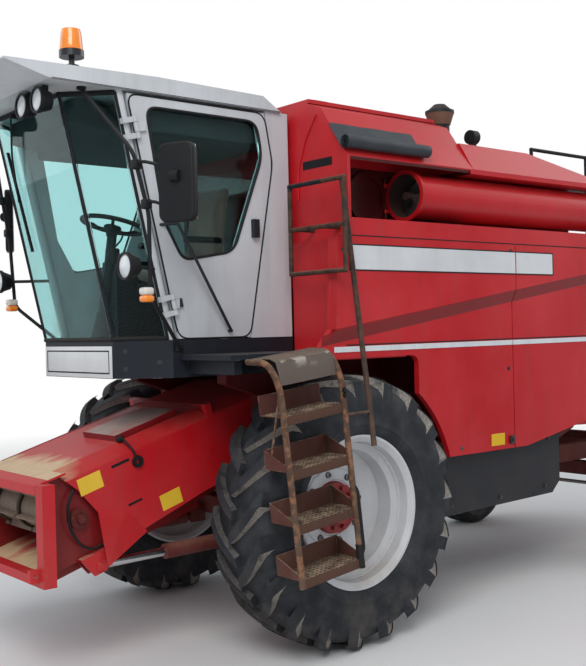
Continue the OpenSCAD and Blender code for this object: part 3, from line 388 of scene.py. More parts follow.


# Regions: where a piece has other colours than its coat's, painted shade among them

def side_cover_regions(place, x, y, z, base):
    """Painted shade in dark red under the crease and on the covers' inner faces, and the pale stripe."""
    out = abs(x)
    # Painted shade: below the crease the panel faces down, and it is painted darker for its shade
    under = (z < y * 0.144 + 1.922) * (out > 1.1312)
    base = mixed(under, base, (0.24, 0.001, 0.003))
    # Painted shade: the covers' inner faces, behind the tank's front, are painted dark red for the shade inside
    # the body
    base = mixed((out < 1.0888) * (y > TANK_FRONT + 0.006), base, colours().dark_red)
    stripe = z.within(1.7615, 1.7945) * out.within(1.1302, 1.1342)
    return mixed(stripe, base, shade(colours().pale, 1.25))


def tank_regions(place, x, y, z, base):
    """Painted shade, a darker dark red, inside the recess behind the unloading auger."""
    inside = (abs(x) < HALF_WIDTH - 0.004) * z.within(2.552, 2.922) * (y > TANK_FRONT + 0.004)
    return mixed(inside, base, shade(colours().dark_red, 0.7))


def auger_regions(place, x, y, z, base):
    """Dull steel inside the tube, painted dark for the shade in it."""
    return mixed(distance(x - AUGER.x, z - AUGER.z) < 0.1385, base, (0.055, 0.030, 0.028))


def feeder_regions(place, x, y, z, base):
    """Worn to a sandy colour on top near the mouth and on the hatch, and painted shade in dark red on the walls
    inside.
    """
    spot = noise(place, 5.0, 9.0, (1.0, 0.35, 1.0))
    up = facing_up(place.id_data)
    lying = up.ramp(0.80, 0.93)
    hatch = y.within(-1.158, -0.728) * x.within(-0.072, 0.322) * (z > y * 0.296 + 1.628)
    rubbed = (y.ramp(-1.28, -1.56) * 0.42 + spot).ramp(0.66, 0.84)
    grey = (hatch * 0.22 + spot).ramp(0.62, 0.78)
    base = mixed(lying * 0.30, base, (0.46, 0.11, 0.11))
    base = mixed(grey * lying * hatch, base, (0.42, 0.30, 0.27))
    base = mixed(rubbed * lying, base, (0.66, 0.46, 0.27))
    # Painted shade: the inner box's upright walls, inside the side skins, are painted dark red
    return mixed((abs(x) < 0.402) * (abs(up) < 0.5), base, (0.20, 0.003, 0.006))


def cab_regions(place, x, y, z, base):
    """Blue-black handle and grab bar outside the doors' skin, and blue-black front posts."""
    out = abs(x)
    hinge = (z.within(1.98, 2.14) + z.within(2.96, 3.12)) * (y < -0.92)
    outside = (out > CAB_X + 0.0004) * (hinge * -1.0 + 1.0)
    post = (out < 0.437) * z.within(SILL_Z, ROOF_Z)
    return mixed(outside.larger(post), base, colours().navy)


def beacon_regions(place, x, y, z, base):
    """The orange lens on its foot."""
    return mixed(z > ROOF_Z + ROOF_RISE + 0.0912, base, colours().amber)


def rail_regions(place, x, y, z, base):
    """Rust on the grab frame, blue-black on the hood's rails."""
    dark = (y > 1.0).larger((z > 2.735) * (x < 1.10))
    rusty = mixed(noise(place, 16.0, 7.0).ramp(0.46, 0.60), base, (0.030, 0.022, 0.020))
    return mixed(dark, rusty, colours().navy)


def conveyor_regions(place, x, y, z, base):
    """The conveyor's dark chains."""
    out = abs(x)
    return mixed((out < 0.0155).larger(out.within(0.285, 0.315)), base, (0.018, 0.016, 0.015))


def intake_regions(place, x, y, z, base):
    """The air intake's brown bowl."""
    return mixed(z.within(3.2895, 3.3695), base, (0.16, 0.085, 0.055))


def rust_regions(place, x, y, z, base):
    """Orange and dark patches of rust."""
    orange = mixed(noise(place, 24.0, 8.0).ramp(0.48, 0.60), base, (0.24, 0.105, 0.050))
    return mixed(noise(place, 11.0, 6.0).ramp(0.55, 0.66), orange, (0.055, 0.035, 0.030))


def tread_regions(place, x, y, z, base):
    """Sandy tread plate with rows of painted dark dots, 30 mm apart, for the shade in its round holes."""
    squares = [(part.math("DIVIDE", 0.030).math("FRACT") - 0.5).math("POWER", 2.0) for part in (x, y)]
    flat = abs(facing_up(place.id_data)) > 0.9
    sandy = mixed(noise(place, 16.0, 6.0).ramp(0.4, 0.6), (0.33, 0.24, 0.155), (0.10, 0.055, 0.036))
    # Painted shade: dark dots where the round holes are, for the dark seen through them
    painted_hole_shade = squares[0] + squares[1] < 0.075
    return mixed(painted_hole_shade * flat, mixed(flat, base, sandy), (0.012, 0.010, 0.009))


def hub_regions(hub, reach):
    """A red hub in a silver rim."""
    def regions(place, x, y, z, base):
        inside = distance(y - (hub.y - AXLE.y), z - hub.z) < reach
        return mixed(inside, base, shade(colours().red, 0.55))
    return regions


# Values that several finishes share
RED_COAT = {"roughness": 0.38, "dust": 0.07, "dust_height": 1.2, "streak": 0.14, "edge": 0.45, "coat": 0.10}
PALE_COAT = {"roughness": 0.42, "dust": 0.2, "streak": 0.10, "edge": 0.25, "coat": 0.2}
RIM_COAT = {"roughness": 0.34, "dust": 0.30, "dust_height": 1.2, "streak": 0.12, "edge": 0.2, "coat": 0.2}
PLATE_COAT = {"roughness": 0.35, "dust": 0.15, "edge": 0.15, "streak": 0.05, "coat": 0.3, "waves": 0.05,
              "grain": 0.1}
RUST_COAT = {"roughness": 0.7, "under": (0.36, 0.30, 0.24), "streak": 0.3, "grain": 0.9, "bump": 0.6}

# Each finish: its slot in the record, its kind, its colour or that of the panel, and its values
FINISHES = {
    "Red paint": ("red_paint", coated, "red", RED_COAT),
    "Side cover paint and shade": ("red_paint", coated, "red", dict(RED_COAT, regions=side_cover_regions)),
    "Tank paint and shade": ("red_paint", coated, "red", dict(RED_COAT, regions=tank_regions)),
    "Auger paint and shade": ("red_paint", coated, "red", dict(RED_COAT, regions=auger_regions)),
    "Feeder paint and shade": ("red_paint", coated, "red", dict(RED_COAT, dust=0.10, regions=feeder_regions)),
    "Dark red paint": ("dark_red_paint", coated, "dark_red", dict(roughness=0.5, dust=0.25, dust_height=1.6)),
    "Pale paint": ("pale_paint", coated, "pale", PALE_COAT),
    "Cab paint": ("pale_paint", coated, "pale", dict(PALE_COAT, regions=cab_regions)),
    "Blue-black paint": ("navy_paint", coated, "navy", dict(
        roughness=0.45, dust=0.12, dust_height=1.4, streak=0.05, edge=0.55, under=(0.24, 0.24, 0.25))),
    "Front rim paint": ("silver_paint", coated, "silver", dict(RIM_COAT, regions=hub_regions(LEFT_HUB, 0.160))),
    "Rear rim paint": ("silver_paint", coated, "silver", dict(RIM_COAT, regions=hub_regions(REAR_HUB, 0.082))),
    "White plate": ("pale_paint", coated, (0.66, 0.67, 0.68), PLATE_COAT),
    "Yellow plate": ("beacon_orange", coated, "sticker", PLATE_COAT),
    "Rusted paint": ("rusty_steel", coated, "rust", dict(
        RUST_COAT, dust=0.35, dust_height=1.9, edge=0.7, regions=rust_regions)),
    "Rail paint": ("rusty_steel", coated, "rust", dict(
        RUST_COAT, dust=0.45, dust_height=2.0, edge=0.5, regions=rail_regions)),
    "Tread with painted holes": ("rusty_steel", coated, "rust", dict(
        roughness=0.8, dust=0.10, under=(0.3, 0.25, 0.2), regions=tread_regions)),
    "Red-brown paint": ("rusty_steel", coated, (0.085, 0.020, 0.016), dict(
        roughness=0.6, dust=0.30, dust_height=2.0, streak=0.3, edge=0.8, under=(0.28, 0.2, 0.16), grain=0.8,
        bump=0.5)),
    "Scraped sheet": ("rusty_steel", coated, (0.105, 0.080, 0.068), dict(
        roughness=0.55, dust=0.25, dust_height=2.0, streak=0.4, edge=0.8, under=(0.38, 0.34, 0.3), grain=0.6,
        bump=0.5)),
    "Worn steel": ("steel", coated, (0.30, 0.29, 0.28), dict(
        roughness=0.38, dust=0.35, streak=0.4, metallic=0.85, under=(0.5, 0.48, 0.45))),
    "Bolt steel": ("steel", coated, (0.06, 0.06, 0.065), dict(
        roughness=0.35, dust=0.3, edge=0.6, metallic=0.7, under=(0.3, 0.29, 0.28))),
    "Conveyor steel": ("steel", coated, (0.21, 0.165, 0.13), dict(
        roughness=0.55, dust=0.5, dust_height=1.6, streak=0.4, metallic=0.35, under=(0.5, 0.46, 0.4),
        regions=conveyor_regions)),
    "Ram chrome": ("steel", coated, (0.62, 0.63, 0.65), dict(
        roughness=0.14, dust=0.15, streak=0.1, edge=0.0, metallic=1.0, waves=0.0)),
    "Mirror silver": ("steel", coated, (0.72, 0.74, 0.76), dict(
        roughness=0.06, dust=0.15, streak=0.05, edge=0.0, metallic=1.0, waves=0.0, grain=0.0)),
    "Black plastic": ("black_plastic", coated, (0.007, 0.008, 0.010), dict(
        roughness=0.50, dust=0.08, streak=0.05, edge=0.0, grain=0.8)),
    "Seal rubber": ("black_plastic", coated, (0.010, 0.010, 0.012), dict(
        roughness=0.62, dust=0.15, streak=0.05, edge=0.0)),
    "Headliner": ("black_plastic", coated, (0.035, 0.040, 0.045), dict(
        roughness=0.85, dust=0.1, streak=0.1, edge=0.0, grain=1.0, bump=0.5)),
    "Beacon finish": ("black_plastic", coated, (0.014, 0.015, 0.018), dict(
        roughness=0.3, dust=0.2, edge=0.0, coat=0.4, regions=beacon_regions)),
    "Intake finish": ("black_plastic", coated, (0.014, 0.015, 0.018), dict(
        roughness=0.5, dust=0.35, edge=0.2, regions=intake_regions)),
    "Clear lens": ("pale_paint", moulded_lens, (0.66, 0.70, 0.72), {}),
    "Marker white": ("beacon_orange", moulded_lens, (0.72, 0.66, 0.60), {}),
    "Red lens": ("beacon_orange", moulded_lens, (0.55, 0.010, 0.008), {}),
    "Amber lens": ("beacon_orange", moulded_lens, "amber", {}),
    "Tinted glass": ("glass", clear_pane, "glass", {}),
    "Tyre rubber": ("tyre_rubber", dusty_rubber, "rubber", {}),
    "Seat cloth": ("seat_cloth", woven_cloth, (0.17, 0.075, 0.055), {}),
    "Tarpaulin": ("tarp", coated_cloth, (0.011, 0.015, 0.021), {}),
}

# Finishes of the frame's own nodes
NODE_FINISHES = {
    "Side cover paint and shade": "side_panel_left side_panel_right side_door_left side_door_right",
    "Tank paint and shade": "grain_tank",
    "Red paint": "tank_lid_left tank_lid_right engine_hood straw_hood header_frame",
    "Auger paint and shade": "unloading_auger",
    "Feeder paint and shade": "feeder_house",
    "Dark red paint": "chassis front_axle threshing_body rear_axle knuckle_left knuckle_right ram_barrel_left"
                      " ram_barrel_right",
    "Ram chrome": "ram_rod_left ram_rod_right",
    "Blue-black paint": "cab_base lower_guards platform",
    "Cab paint": "cab_frame cab_door",
    "Pale paint": "cab_roof",
    "Black plastic": "mirrors work_lamps",
    "Tinted glass": "cab_glass door_glass",
    "Beacon finish": "beacon",
    "Rail paint": "handrails",
    "Conveyor steel": "feeder_conveyor",
    "Worn steel": "engine tie_rod",
    "Intake finish": "air_intake",
    "Front rim paint": "front_rim_left front_rim_right",
    "Rear rim paint": "rear_rim_left rear_rim_right",
}


def finish(name):
    """A finish's material, made on its first use."""
    if name in bpy.data.materials:
        return bpy.data.materials[name]
    kind, colour, values = FINISHES[name][1:]
    material, shader = new_material(name)
    kind(shader, getattr(colours(), colour) if isinstance(colour, str) else colour, **values)
    return material


def new_material(name):
    """An empty material and its shader."""
    material = bpy.data.materials.new(name)
    material.use_nodes = True
    return material, material.node_tree.nodes["Principled BSDF"]


# Shapes

def along_axis(direction):
    """The turn that takes the z axis to a direction."""
    return Vector(direction).to_track_quat("Z", "Y").to_matrix().to_4x4()


def round_edges(mesh, edges, width, segments=2):
    """Rounds edges."""
    bmesh.ops.bevel(mesh, geom=list(edges), offset=width, offset_type="OFFSET", segments=segments, profile=0.5,
                    affect="EDGES", material=-1, clamp_overlap=True)


def add_block(mesh, low, high, bevel=0.0, segments=2):
    """A box between two corners, its edges rounded by bevel."""
    low, high = Vector(low), Vector(high)
    matrix = Matrix.Translation((low + high) / 2) @ Matrix.Diagonal((*(high - low), 1.0))
    verts = bmesh.ops.create_cube(mesh, size=1.0, matrix=matrix)["verts"]
    if bevel:
        round_edges(mesh, {edge for vert in verts for edge in vert.link_edges}, bevel, segments)


def add_frame(mesh, wide, tall, line, y, depth):
    """A thin upright frame of four bars."""
    (a, b), (c, d) = wide, tall
    for low, high in (((a, c), (b, c + line)), ((a, d - line), (b, d)), ((a, c), (a + line, d)),
                      ((b - line, c), (b, d))):
        add_block(mesh, (low[0], y, low[1]), (high[0], y + depth, high[1]))


def add_rod(mesh, start, end, radius, end_radius=None, segments=16):
    """A round bar or cone between two places."""
    start, end = Vector(start), Vector(end)
    bmesh.ops.create_cone(mesh, cap_ends=True, cap_tris=False, segments=segments, radius1=radius,
                          radius2=end_radius or radius, depth=(end - start).length,
                          matrix=Matrix.Translation((start + end) / 2) @ along_axis(end - start))


def add_turned(mesh, outline, centre, axis, steps=48):
    """A ring turned about an axis: outline holds (radius, distance along the axis)."""
    turn = along_axis(axis)
    centre = Vector(centre)
    verts = [mesh.verts.new(centre + turn @ Vector((radius, 0.0, along))) for radius, along in outline]
    edges = [mesh.edges.new(pair) for pair in zip(verts, verts[1:] + verts[:1])]
    bmesh.ops.spin(mesh, geom=verts + edges, cent=centre, axis=turn @ Vector((0.0, 0.0, 1.0)), angle=math.tau,
                   steps=steps, use_merge=True, use_duplicate=False)


def two_faced(outer):
    """An outline given for one half of its width, completed with the other half."""
    return [(radius, -along) for radius, along in outer] + [(radius, along) for radius, along in outer[::-1]]


def verts_of(made):
    """The vertices that an operator made."""
    return [item for item in made["geom"] if isinstance(item, bmesh.types.BMVert)]


def add_outline(mesh, points, depth):
    """A plate: the face through the points, pushed out by depth."""
    face = mesh.faces.new([mesh.verts.new(Vector(point)) for point in points])
    made = bmesh.ops.extrude_face_region(mesh, geom=[face])
    bmesh.ops.translate(mesh, vec=Vector(depth), verts=verts_of(made))


def sweep_edges(mesh, edges, matrix):
    """Extrudes edges, moves the new ones and gives them."""
    made = bmesh.ops.extrude_edge_only(mesh, edges=edges)
    verts = verts_of(made)
    bmesh.ops.transform(mesh, matrix=matrix, verts=verts)
    return [item for item in made["geom"] if isinstance(item, bmesh.types.BMEdge)
            and set(verts).issuperset(item.verts)]


def open_row(mesh, points):
    """Edges that join points in a row."""
    verts = [mesh.verts.new(point) for point in points]
    return [mesh.edges.new(pair) for pair in zip(verts, verts[1:])]


def rounded_route(points, bend, steps=6):
    """The same route with each corner replaced by a curve."""
    route = [points[0]]
    for before, corner, after in zip(points, points[1:], points[2:]):
        reach = min(bend, (corner - before).length * 0.48, (after - corner).length * 0.48)
        start = corner + (before - corner).normalized() * reach
        end = corner + (after - corner).normalized() * reach
        for step in range(steps + 1):
            t = step / steps
            route.append(start * (1 - t) ** 2 + corner * 2 * t * (1 - t) + end * t ** 2)
    return route + [points[-1]]


def add_pipe(mesh, points, radius, sides=12, bend=0.0):
    """A tube through points, its corners rounded by bend where that is given."""
    route = [Vector(point) for point in points]
    if bend:
        route = rounded_route(route, bend)
    tangents = [(after - before).normalized()
                for before, after in zip(route[:1] + route, route[1:] + route[-1:])]
    side = tangents[0].orthogonal().normalized()
    ring = last = None
    for point, tangent in zip(route, tangents):
        side = (side - tangent * side.dot(tangent)).normalized()
        turn = Matrix((side, tangent.cross(side), tangent)).transposed().to_4x4()
        placed = Matrix.Translation(point) @ turn
        if ring:
            ring = sweep_edges(mesh, ring, placed @ last.inverted())
        else:
            made = bmesh.ops.create_circle(mesh, cap_ends=True, segments=sides, radius=radius, matrix=placed)
            ring = list(made["verts"][0].link_faces[0].edges)
        last = placed
    bmesh.ops.edgeloop_fill(mesh, edges=ring)


def add_bolt(mesh, centre, direction, radius=0.012, height=0.008):
    """A hexagon bolt head on a washer."""
    centre, direction = Vector(centre), Vector(direction).normalized()
    add_rod(mesh, centre, centre + direction * height * 0.3, radius * 1.35)
    add_rod(mesh, centre + direction * height * 0.25, centre + direction * height, radius, segments=6)


def add_bolt_ring(mesh, centre, reach, count, start, direction, radius, height):
    """Bolts on a circle in an upright plane along the machine, from start degrees past its top."""
    for index in range(count):
        angle = math.radians(start + index * 360 / count)
        place = Vector(centre) + Vector((0, -math.sin(angle), math.cos(angle))) * reach
        add_bolt(mesh, place, direction, radius, height)


def both_sides(mesh):
    """Adds the mirror image of a mesh on the machine's other side."""
    made = bmesh.ops.duplicate(mesh, geom=mesh.verts[:] + mesh.edges[:] + mesh.faces[:])
    bmesh.ops.transform(mesh, matrix=Matrix.Diagonal((-1, 1, 1, 1)), verts=verts_of(made))
    bmesh.ops.reverse_faces(mesh, faces=[item for item in made["geom"] if isinstance(item, bmesh.types.BMFace)])


def finish_piece(mesh, name, paint, body="machine", lines=None, smooth=35.0, doubles=1e-5, slot=None):
    """Turns a mesh into a piece that rides on a body, with its faces outwards.

    The mesh is drawn from the machine's middle and front axle, or in other lines that lead there.
    """
    bmesh.ops.transform(mesh, matrix=Matrix.Translation(AXLE) @ (lines or Matrix()), verts=mesh.verts)
    if doubles:
        bmesh.ops.remove_doubles(mesh, verts=mesh.verts, dist=doubles)
    bmesh.ops.recalc_face_normals(mesh, faces=mesh.faces)
    data = bpy.data.meshes.new(name)
    mesh.to_mesh(data)
    mesh.free()
    piece = bpy.data.objects.new(name, data)
    bpy.context.scene.collection.objects.link(piece)
    data.materials.append(finish(paint))
    data.shade_smooth()
    data.set_sharp_from_angle(angle=math.radians(smooth))
    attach(piece, body)
    return piece


@contextmanager
def piece_mesh(name, paint, body="machine", mirrored=False, stands_for=None, **settings):
    """A mesh to build in, which becomes a piece, on both sides if mirrored, and may stand for a node."""
    mesh = bmesh.new()
    yield mesh
    if mirrored:
        both_sides(mesh)
    piece = finish_piece(mesh, name, paint, body, **settings)
    if stands_for:
        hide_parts(stands_for)


def along_rows(rows, where):
    """The values at a place between rows that start with their place."""
    for first, second in zip(rows, rows[1:]):
        if where <= second[0]:
            t = (where - first[0]) / (second[0] - first[0])
            return [a + (b - a) * t for a, b in zip(first[1:], second[1:])]


def lean_y(y, z):
    """Where a line of the cab's leaning front stands at a height."""
    return y - (z - SILL_Z) * LEAN


# Operators

class HARVESTER_OT_stage(bpy.types.Operator):
    """Camera at the photograph's angle, pale floor and soft light"""
    bl_idname = "harvester.stage"
    bl_label = "Stage"

    def execute(self, context):
        data = bpy.data.cameras.new("camera")
        camera = bpy.data.objects.new("camera", data)
        context.scene.collection.objects.link(camera)
        yaw, pitch, roll = (math.radians(angle) for angle in (50.35, -0.23, -1.40))
        ahead = Vector((-math.sin(yaw) * math.cos(pitch), math.cos(yaw) * math.cos(pitch), math.sin(pitch)))
        level = Vector((math.cos(yaw), math.sin(yaw), 0.0))
        upright = level.cross(ahead)
        right = level * math.cos(roll) + upright * math.sin(roll)
        up = upright * math.cos(roll) - level * math.sin(roll)
        camera.matrix_world = Matrix((right, up, -ahead)).transposed().to_4x4()
        camera.location = (5.372, -5.584, 1.906)
        data.sensor_width, data.lens = 36.0, 54.38
        data.clip_start, data.clip_end = 0.1, 500.0
        context.scene.camera = camera
        context.scene.view_settings.view_transform = "Standard"
        self.light_world(context.scene)
        self.hang_lamps(context.scene)
        self.lay_floor(context.scene)
        return {"FINISHED"}

    def seen(self, tree):
        """1 for rays from the camera, straight or through glass."""
        path = put(tree, "ShaderNodeLightPath").outputs
        return Value(path["Is Camera Ray"]).larger(Value(path["Is Transmission Ray"]))

    def light_world(self, scene):
        """White to the camera and in reflections, soft grey light on the object."""
        world = scene.world = bpy.data.worlds.new("studio")
        world.use_nodes = True
        tree = world.node_tree
        white = tree.nodes["Background"]
        feed(white, {"Color": (1.0, 1.0, 1.0)})
        soft = put(tree, "ShaderNodeBackground", {"Color": (0.86, 0.92, 1.0), "Strength": 0.52})
        glossy = put(tree, "ShaderNodeBackground", {"Color": (0.95, 0.98, 1.0), "Strength": 0.60})
        mirrored = put(tree, "ShaderNodeLightPath").outputs["Is Glossy Ray"]
        lit = put(tree, "ShaderNodeMixShader", {0: mirrored, 1: soft, 2: glossy})
        both = put(tree, "ShaderNodeMixShader", {0: self.seen(tree), 1: lit, 2: white})
        feed(tree.nodes["World Output"], {"Surface": both})

    def hang_lamps(self, scene):
        """A broad key from the front left, a fill and a light from behind."""
        middle = Vector((0.0, 0.0, 1.5))
        for name, place, size, power in (("key", (7.0, -8.0, 9.0), 6.0, 760.0),
                                         ("fill", (-8.0, -7.0, 6.0), 8.0, 170.0),
                                         ("back", (2.0, 10.0, 8.0), 7.0, 330.0)):
            data = bpy.data.lights.new(name, "AREA")
            data.size, data.energy = size, power
            lamp = bpy.data.objects.new(name, data)
            scene.collection.objects.link(lamp)
            lamp.matrix_world = Matrix.Translation(place) @ along_axis(Vector(place) - middle)

    def lay_floor(self, scene):
        """A pale round floor that runs into white."""
        mesh = bmesh.new()
        bmesh.ops.create_circle(mesh, cap_ends=True, segments=64, radius=80.0)
        data = bpy.data.meshes.new("floor")
        mesh.to_mesh(data)
        mesh.free()
        floor = bpy.data.objects.new("floor", data)
        scene.collection.objects.link(floor)
        material, shader = new_material("Pale floor")
        tree = material.node_tree
        place = put(tree, "ShaderNodeTexCoord").outputs["Object"]
        away = put(tree, "ShaderNodeVectorMath", {0: place}, operation="LENGTH").outputs["Value"]
        feed(shader, {"Base Color": mixed(noise(place, 0.6), (0.74, 0.74, 0.73), (0.80, 0.80, 0.79)),
                      "Roughness": 0.85})
        white = put(tree, "ShaderNodeEmission", {"Color": (1.0, 1.0, 1.0), "Strength": 1.0})
        far = Value(away).ramp(5.5, 13.0) * self.seen(tree)
        both = put(tree, "ShaderNodeMixShader", {0: far, 1: shader, 2: white})
        feed(tree.nodes["Material Output"], {"Surface": both})
        data.materials.append(material)


class HARVESTER_OT_paint(bpy.types.Operator):
    """Finishes of the frame's own solids"""
    bl_idname = "harvester.paint"
    bl_label = "Paint"

    def execute(self, context):
        for paint, names in NODE_FINISHES.items():
            for name in names.split():
                slots = frame["nodes"][name].data.materials
                slots.clear()
                slots.append(finish(paint))
        return {"FINISHED"}


class HARVESTER_OT_front_tyres(bpy.types.Operator):
    """Front tyres with curved lugs that hook round the shoulder"""
    bl_idname = "harvester.front_tyres"
    bl_label = "Front tyres"

    # Along a lug: share of its length, distance of its foot and its top from the tyre's middle, fall of each
    # from the crown, sweep in degrees
    LINE = ((0.0, -0.016, -0.014, 0.0, 0.0, 0.0), (0.25, 0.052, 0.052, 0.0, 0.0, 3.4),
            (0.5, 0.118, 0.117, 0.004, 0.003, 7.6), (0.72, 0.174, 0.171, 0.022, 0.010, 12.2),
            (0.88, 0.209, 0.203, 0.056, 0.022, 16.0), (1.0, 0.231, 0.217, 0.118, 0.042, 18.6))

    def execute(self, context):
        tyres = context.scene.harvester_tyres
        crown = tyres.radius - tyres.lug_height
        for side, hub, flip in (("left", LEFT_HUB, 1), ("right", RIGHT_HUB, -1)):
            with piece_mesh("lugged_tyre_" + side, "Tyre rubber", "front_wheel_" + side, smooth=40.0,
                            stands_for="front_tyre_" + side) as mesh:
                self.add_lugs(mesh, tyres, crown)
                self.add_carcass(mesh, crown, tyres.width / 2)
                bmesh.ops.scale(mesh, vec=(flip, 1, 1), verts=mesh.verts)
                bmesh.ops.translate(mesh, vec=hub - AXLE, verts=mesh.verts)
        return {"FINISHED"}

    def add_carcass(self, mesh, crown, half):
        """The tyre without its lugs: bead, bulging side wall, shoulder and crown."""
        outer = ((0.4605, half - 0.034), (0.478, half - 0.022), (0.505, half - 0.006), (0.515, half - 0.004),
                 (0.519, half - 0.0005), (0.530, half - 0.0005), (0.534, half - 0.003), (0.565, half - 0.001),
                 (0.600, half), (0.640, half), (0.672, half - 0.003), (0.704, half - 0.012),
                 (0.733, half - 0.028), (crown - 0.022, half - 0.060), (crown - 0.006, half - 0.110),
                 (crown, half - 0.175))
        add_turned(mesh, two_faced(outer), (0, 0, 0), (1, 0, 0), steps=96)

    def add_lugs(self, mesh, tyres, crown):
        """One lug bent onto its line, turned round the tyre, and the same for the other half."""
        layer = mesh.faces.layers.float.new("lug_side")
        bmesh.ops.create_cube(mesh, size=1.0)
        long = [edge for edge in mesh.edges if abs((edge.verts[0].co - edge.verts[1].co).x) > 0.5]
        bmesh.ops.subdivide_edges(mesh, edges=long, cuts=8, use_grid_fill=True)
        for face in mesh.faces:
            middle = face.calc_center_median()
            if abs(middle.y) > 0.4:
                face[layer] = 1.0 if middle.y > 0 else 0.35
        rims = [edge for edge in mesh.edges if all(vert.co.z > 0.4 for vert in edge.verts)
                and (edge.verts[0].co.y * edge.verts[1].co.y > 0 or abs(edge.verts[0].co.x) > 0.49)]
        for vert in mesh.verts:
            share, across, up = vert.co.x + 0.5, vert.co.y * 2, vert.co.z + 0.5
            foot, top, fall, drop, sweep = along_rows(self.LINE, share)
            radius = (crown - fall - 0.012) * (1 - up) + (tyres.radius - drop) * up
            wide = (0.036 - 0.012 * up + 0.016 * share) * across
            angle = math.radians(sweep) - wide / crown
            vert.co = (foot + (top - foot) * up, radius * math.sin(angle), radius * math.cos(angle))
        round_edges(mesh, rims, 0.005, 1)
        step = math.tau / tyres.lugs
        bmesh.ops.spin(mesh, geom=mesh.verts[:] + mesh.edges[:] + mesh.faces[:], cent=(0, 0, 0), axis=(1, 0, 0),
                       angle=step * (tyres.lugs - 1), steps=tyres.lugs - 1, use_duplicate=True)
        made = bmesh.ops.duplicate(mesh, geom=mesh.verts[:] + mesh.edges[:] + mesh.faces[:])
        other = Matrix.Rotation(step / 2, 4, "X") @ Matrix.Diagonal((-1, 1, 1, 1))
        bmesh.ops.transform(mesh, matrix=other, verts=verts_of(made))


class HARVESTER_OT_rear_tyres(bpy.types.Operator):
    """Ribbed rear tyres"""
    bl_idname = "harvester.rear_tyres"
    bl_label = "Rear tyres"

    def execute(self, context):
        tyres = context.scene.harvester_tyres
        radius, half = tyres.rear_radius, tyres.rear_width / 2
        outer = ((0.2012, half - 0.030), (0.222, half - 0.014), (0.250, half - 0.002), (0.290, half),
                 (0.335, half - 0.001), (0.338, half + 0.001), (0.348, half + 0.001), (0.351, half - 0.004),
                 (radius - 0.040, half - 0.012), (radius - 0.014, half - 0.030), (radius - 0.002, half - 0.048),
                 (radius, 0.085), (radius - 0.010, 0.080), (radius - 0.012, 0.066), (radius, 0.060),
                 (radius, 0.026), (radius - 0.012, 0.021), (radius - 0.012, 0.009), (radius, 0.004))
        for side, flip in (("left", 1), ("right", -1)):
            with piece_mesh("ribbed_tyre_" + side, "Tyre rubber", "rear_wheel_" + side,
                            stands_for="rear_tyre_" + side) as mesh:
                centre = REAR_HUB - AXLE
                centre.x *= flip
                add_turned(mesh, two_faced(outer), centre, (1, 0, 0), steps=96)
        return {"FINISHED"}


class HARVESTER_OT_rims(bpy.types.Operator):
    """Ridges and bolts of the front rims, hub caps and valve"""
    bl_idname = "harvester.rims"
    bl_label = "Rim details"

    def execute(self, context):
        for side, hub, flip in (("left", LEFT_HUB, 1), ("right", RIGHT_HUB, -1)):
            body = "front_wheel_" + side
            x, y, z = hub - AXLE
            with piece_mesh("rim_ridges_" + side, "Front rim paint", body) as mesh:
                for radius, out in ((0.384, 0.040), (0.402, 0.118), (0.426, 0.128)):
                    ridge = [(radius - 0.008, 0.0), (radius - 0.004, 0.006), (radius + 0.004, 0.006),
                             (radius + 0.008, 0.0)]
                    add_turned(mesh, ridge, (x + flip * out, y, z), (flip, 0, 0), steps=72)
                cap = [(0.170, 0.0), (0.172, 0.006), (0.236, 0.007), (0.240, 0.001)]
                add_turned(mesh, cap, (x - flip * 0.051, y, z), (flip, 0, 0), steps=72)
            with piece_mesh("rim_bolts_" + side, "Bolt steel", body, slot="black_plastic") as mesh:
                for inward, reach, count, start, radius, height in ((0.046, 0.205, 8, 11, 0.015, 0.020),
                                                                    (0.008, 0.122, 10, 18, 0.011, 0.014)):
                    add_bolt_ring(mesh, (x - flip * inward, y, z), reach, count, start, (flip, 0, 0), radius,
                                  height)
                add_pipe(mesh, [(x + flip * 0.075, y + 0.1, z - 0.365), (x + flip * 0.10, y + 0.1, z - 0.352)],
                         0.006)
        return {"FINISHED"}


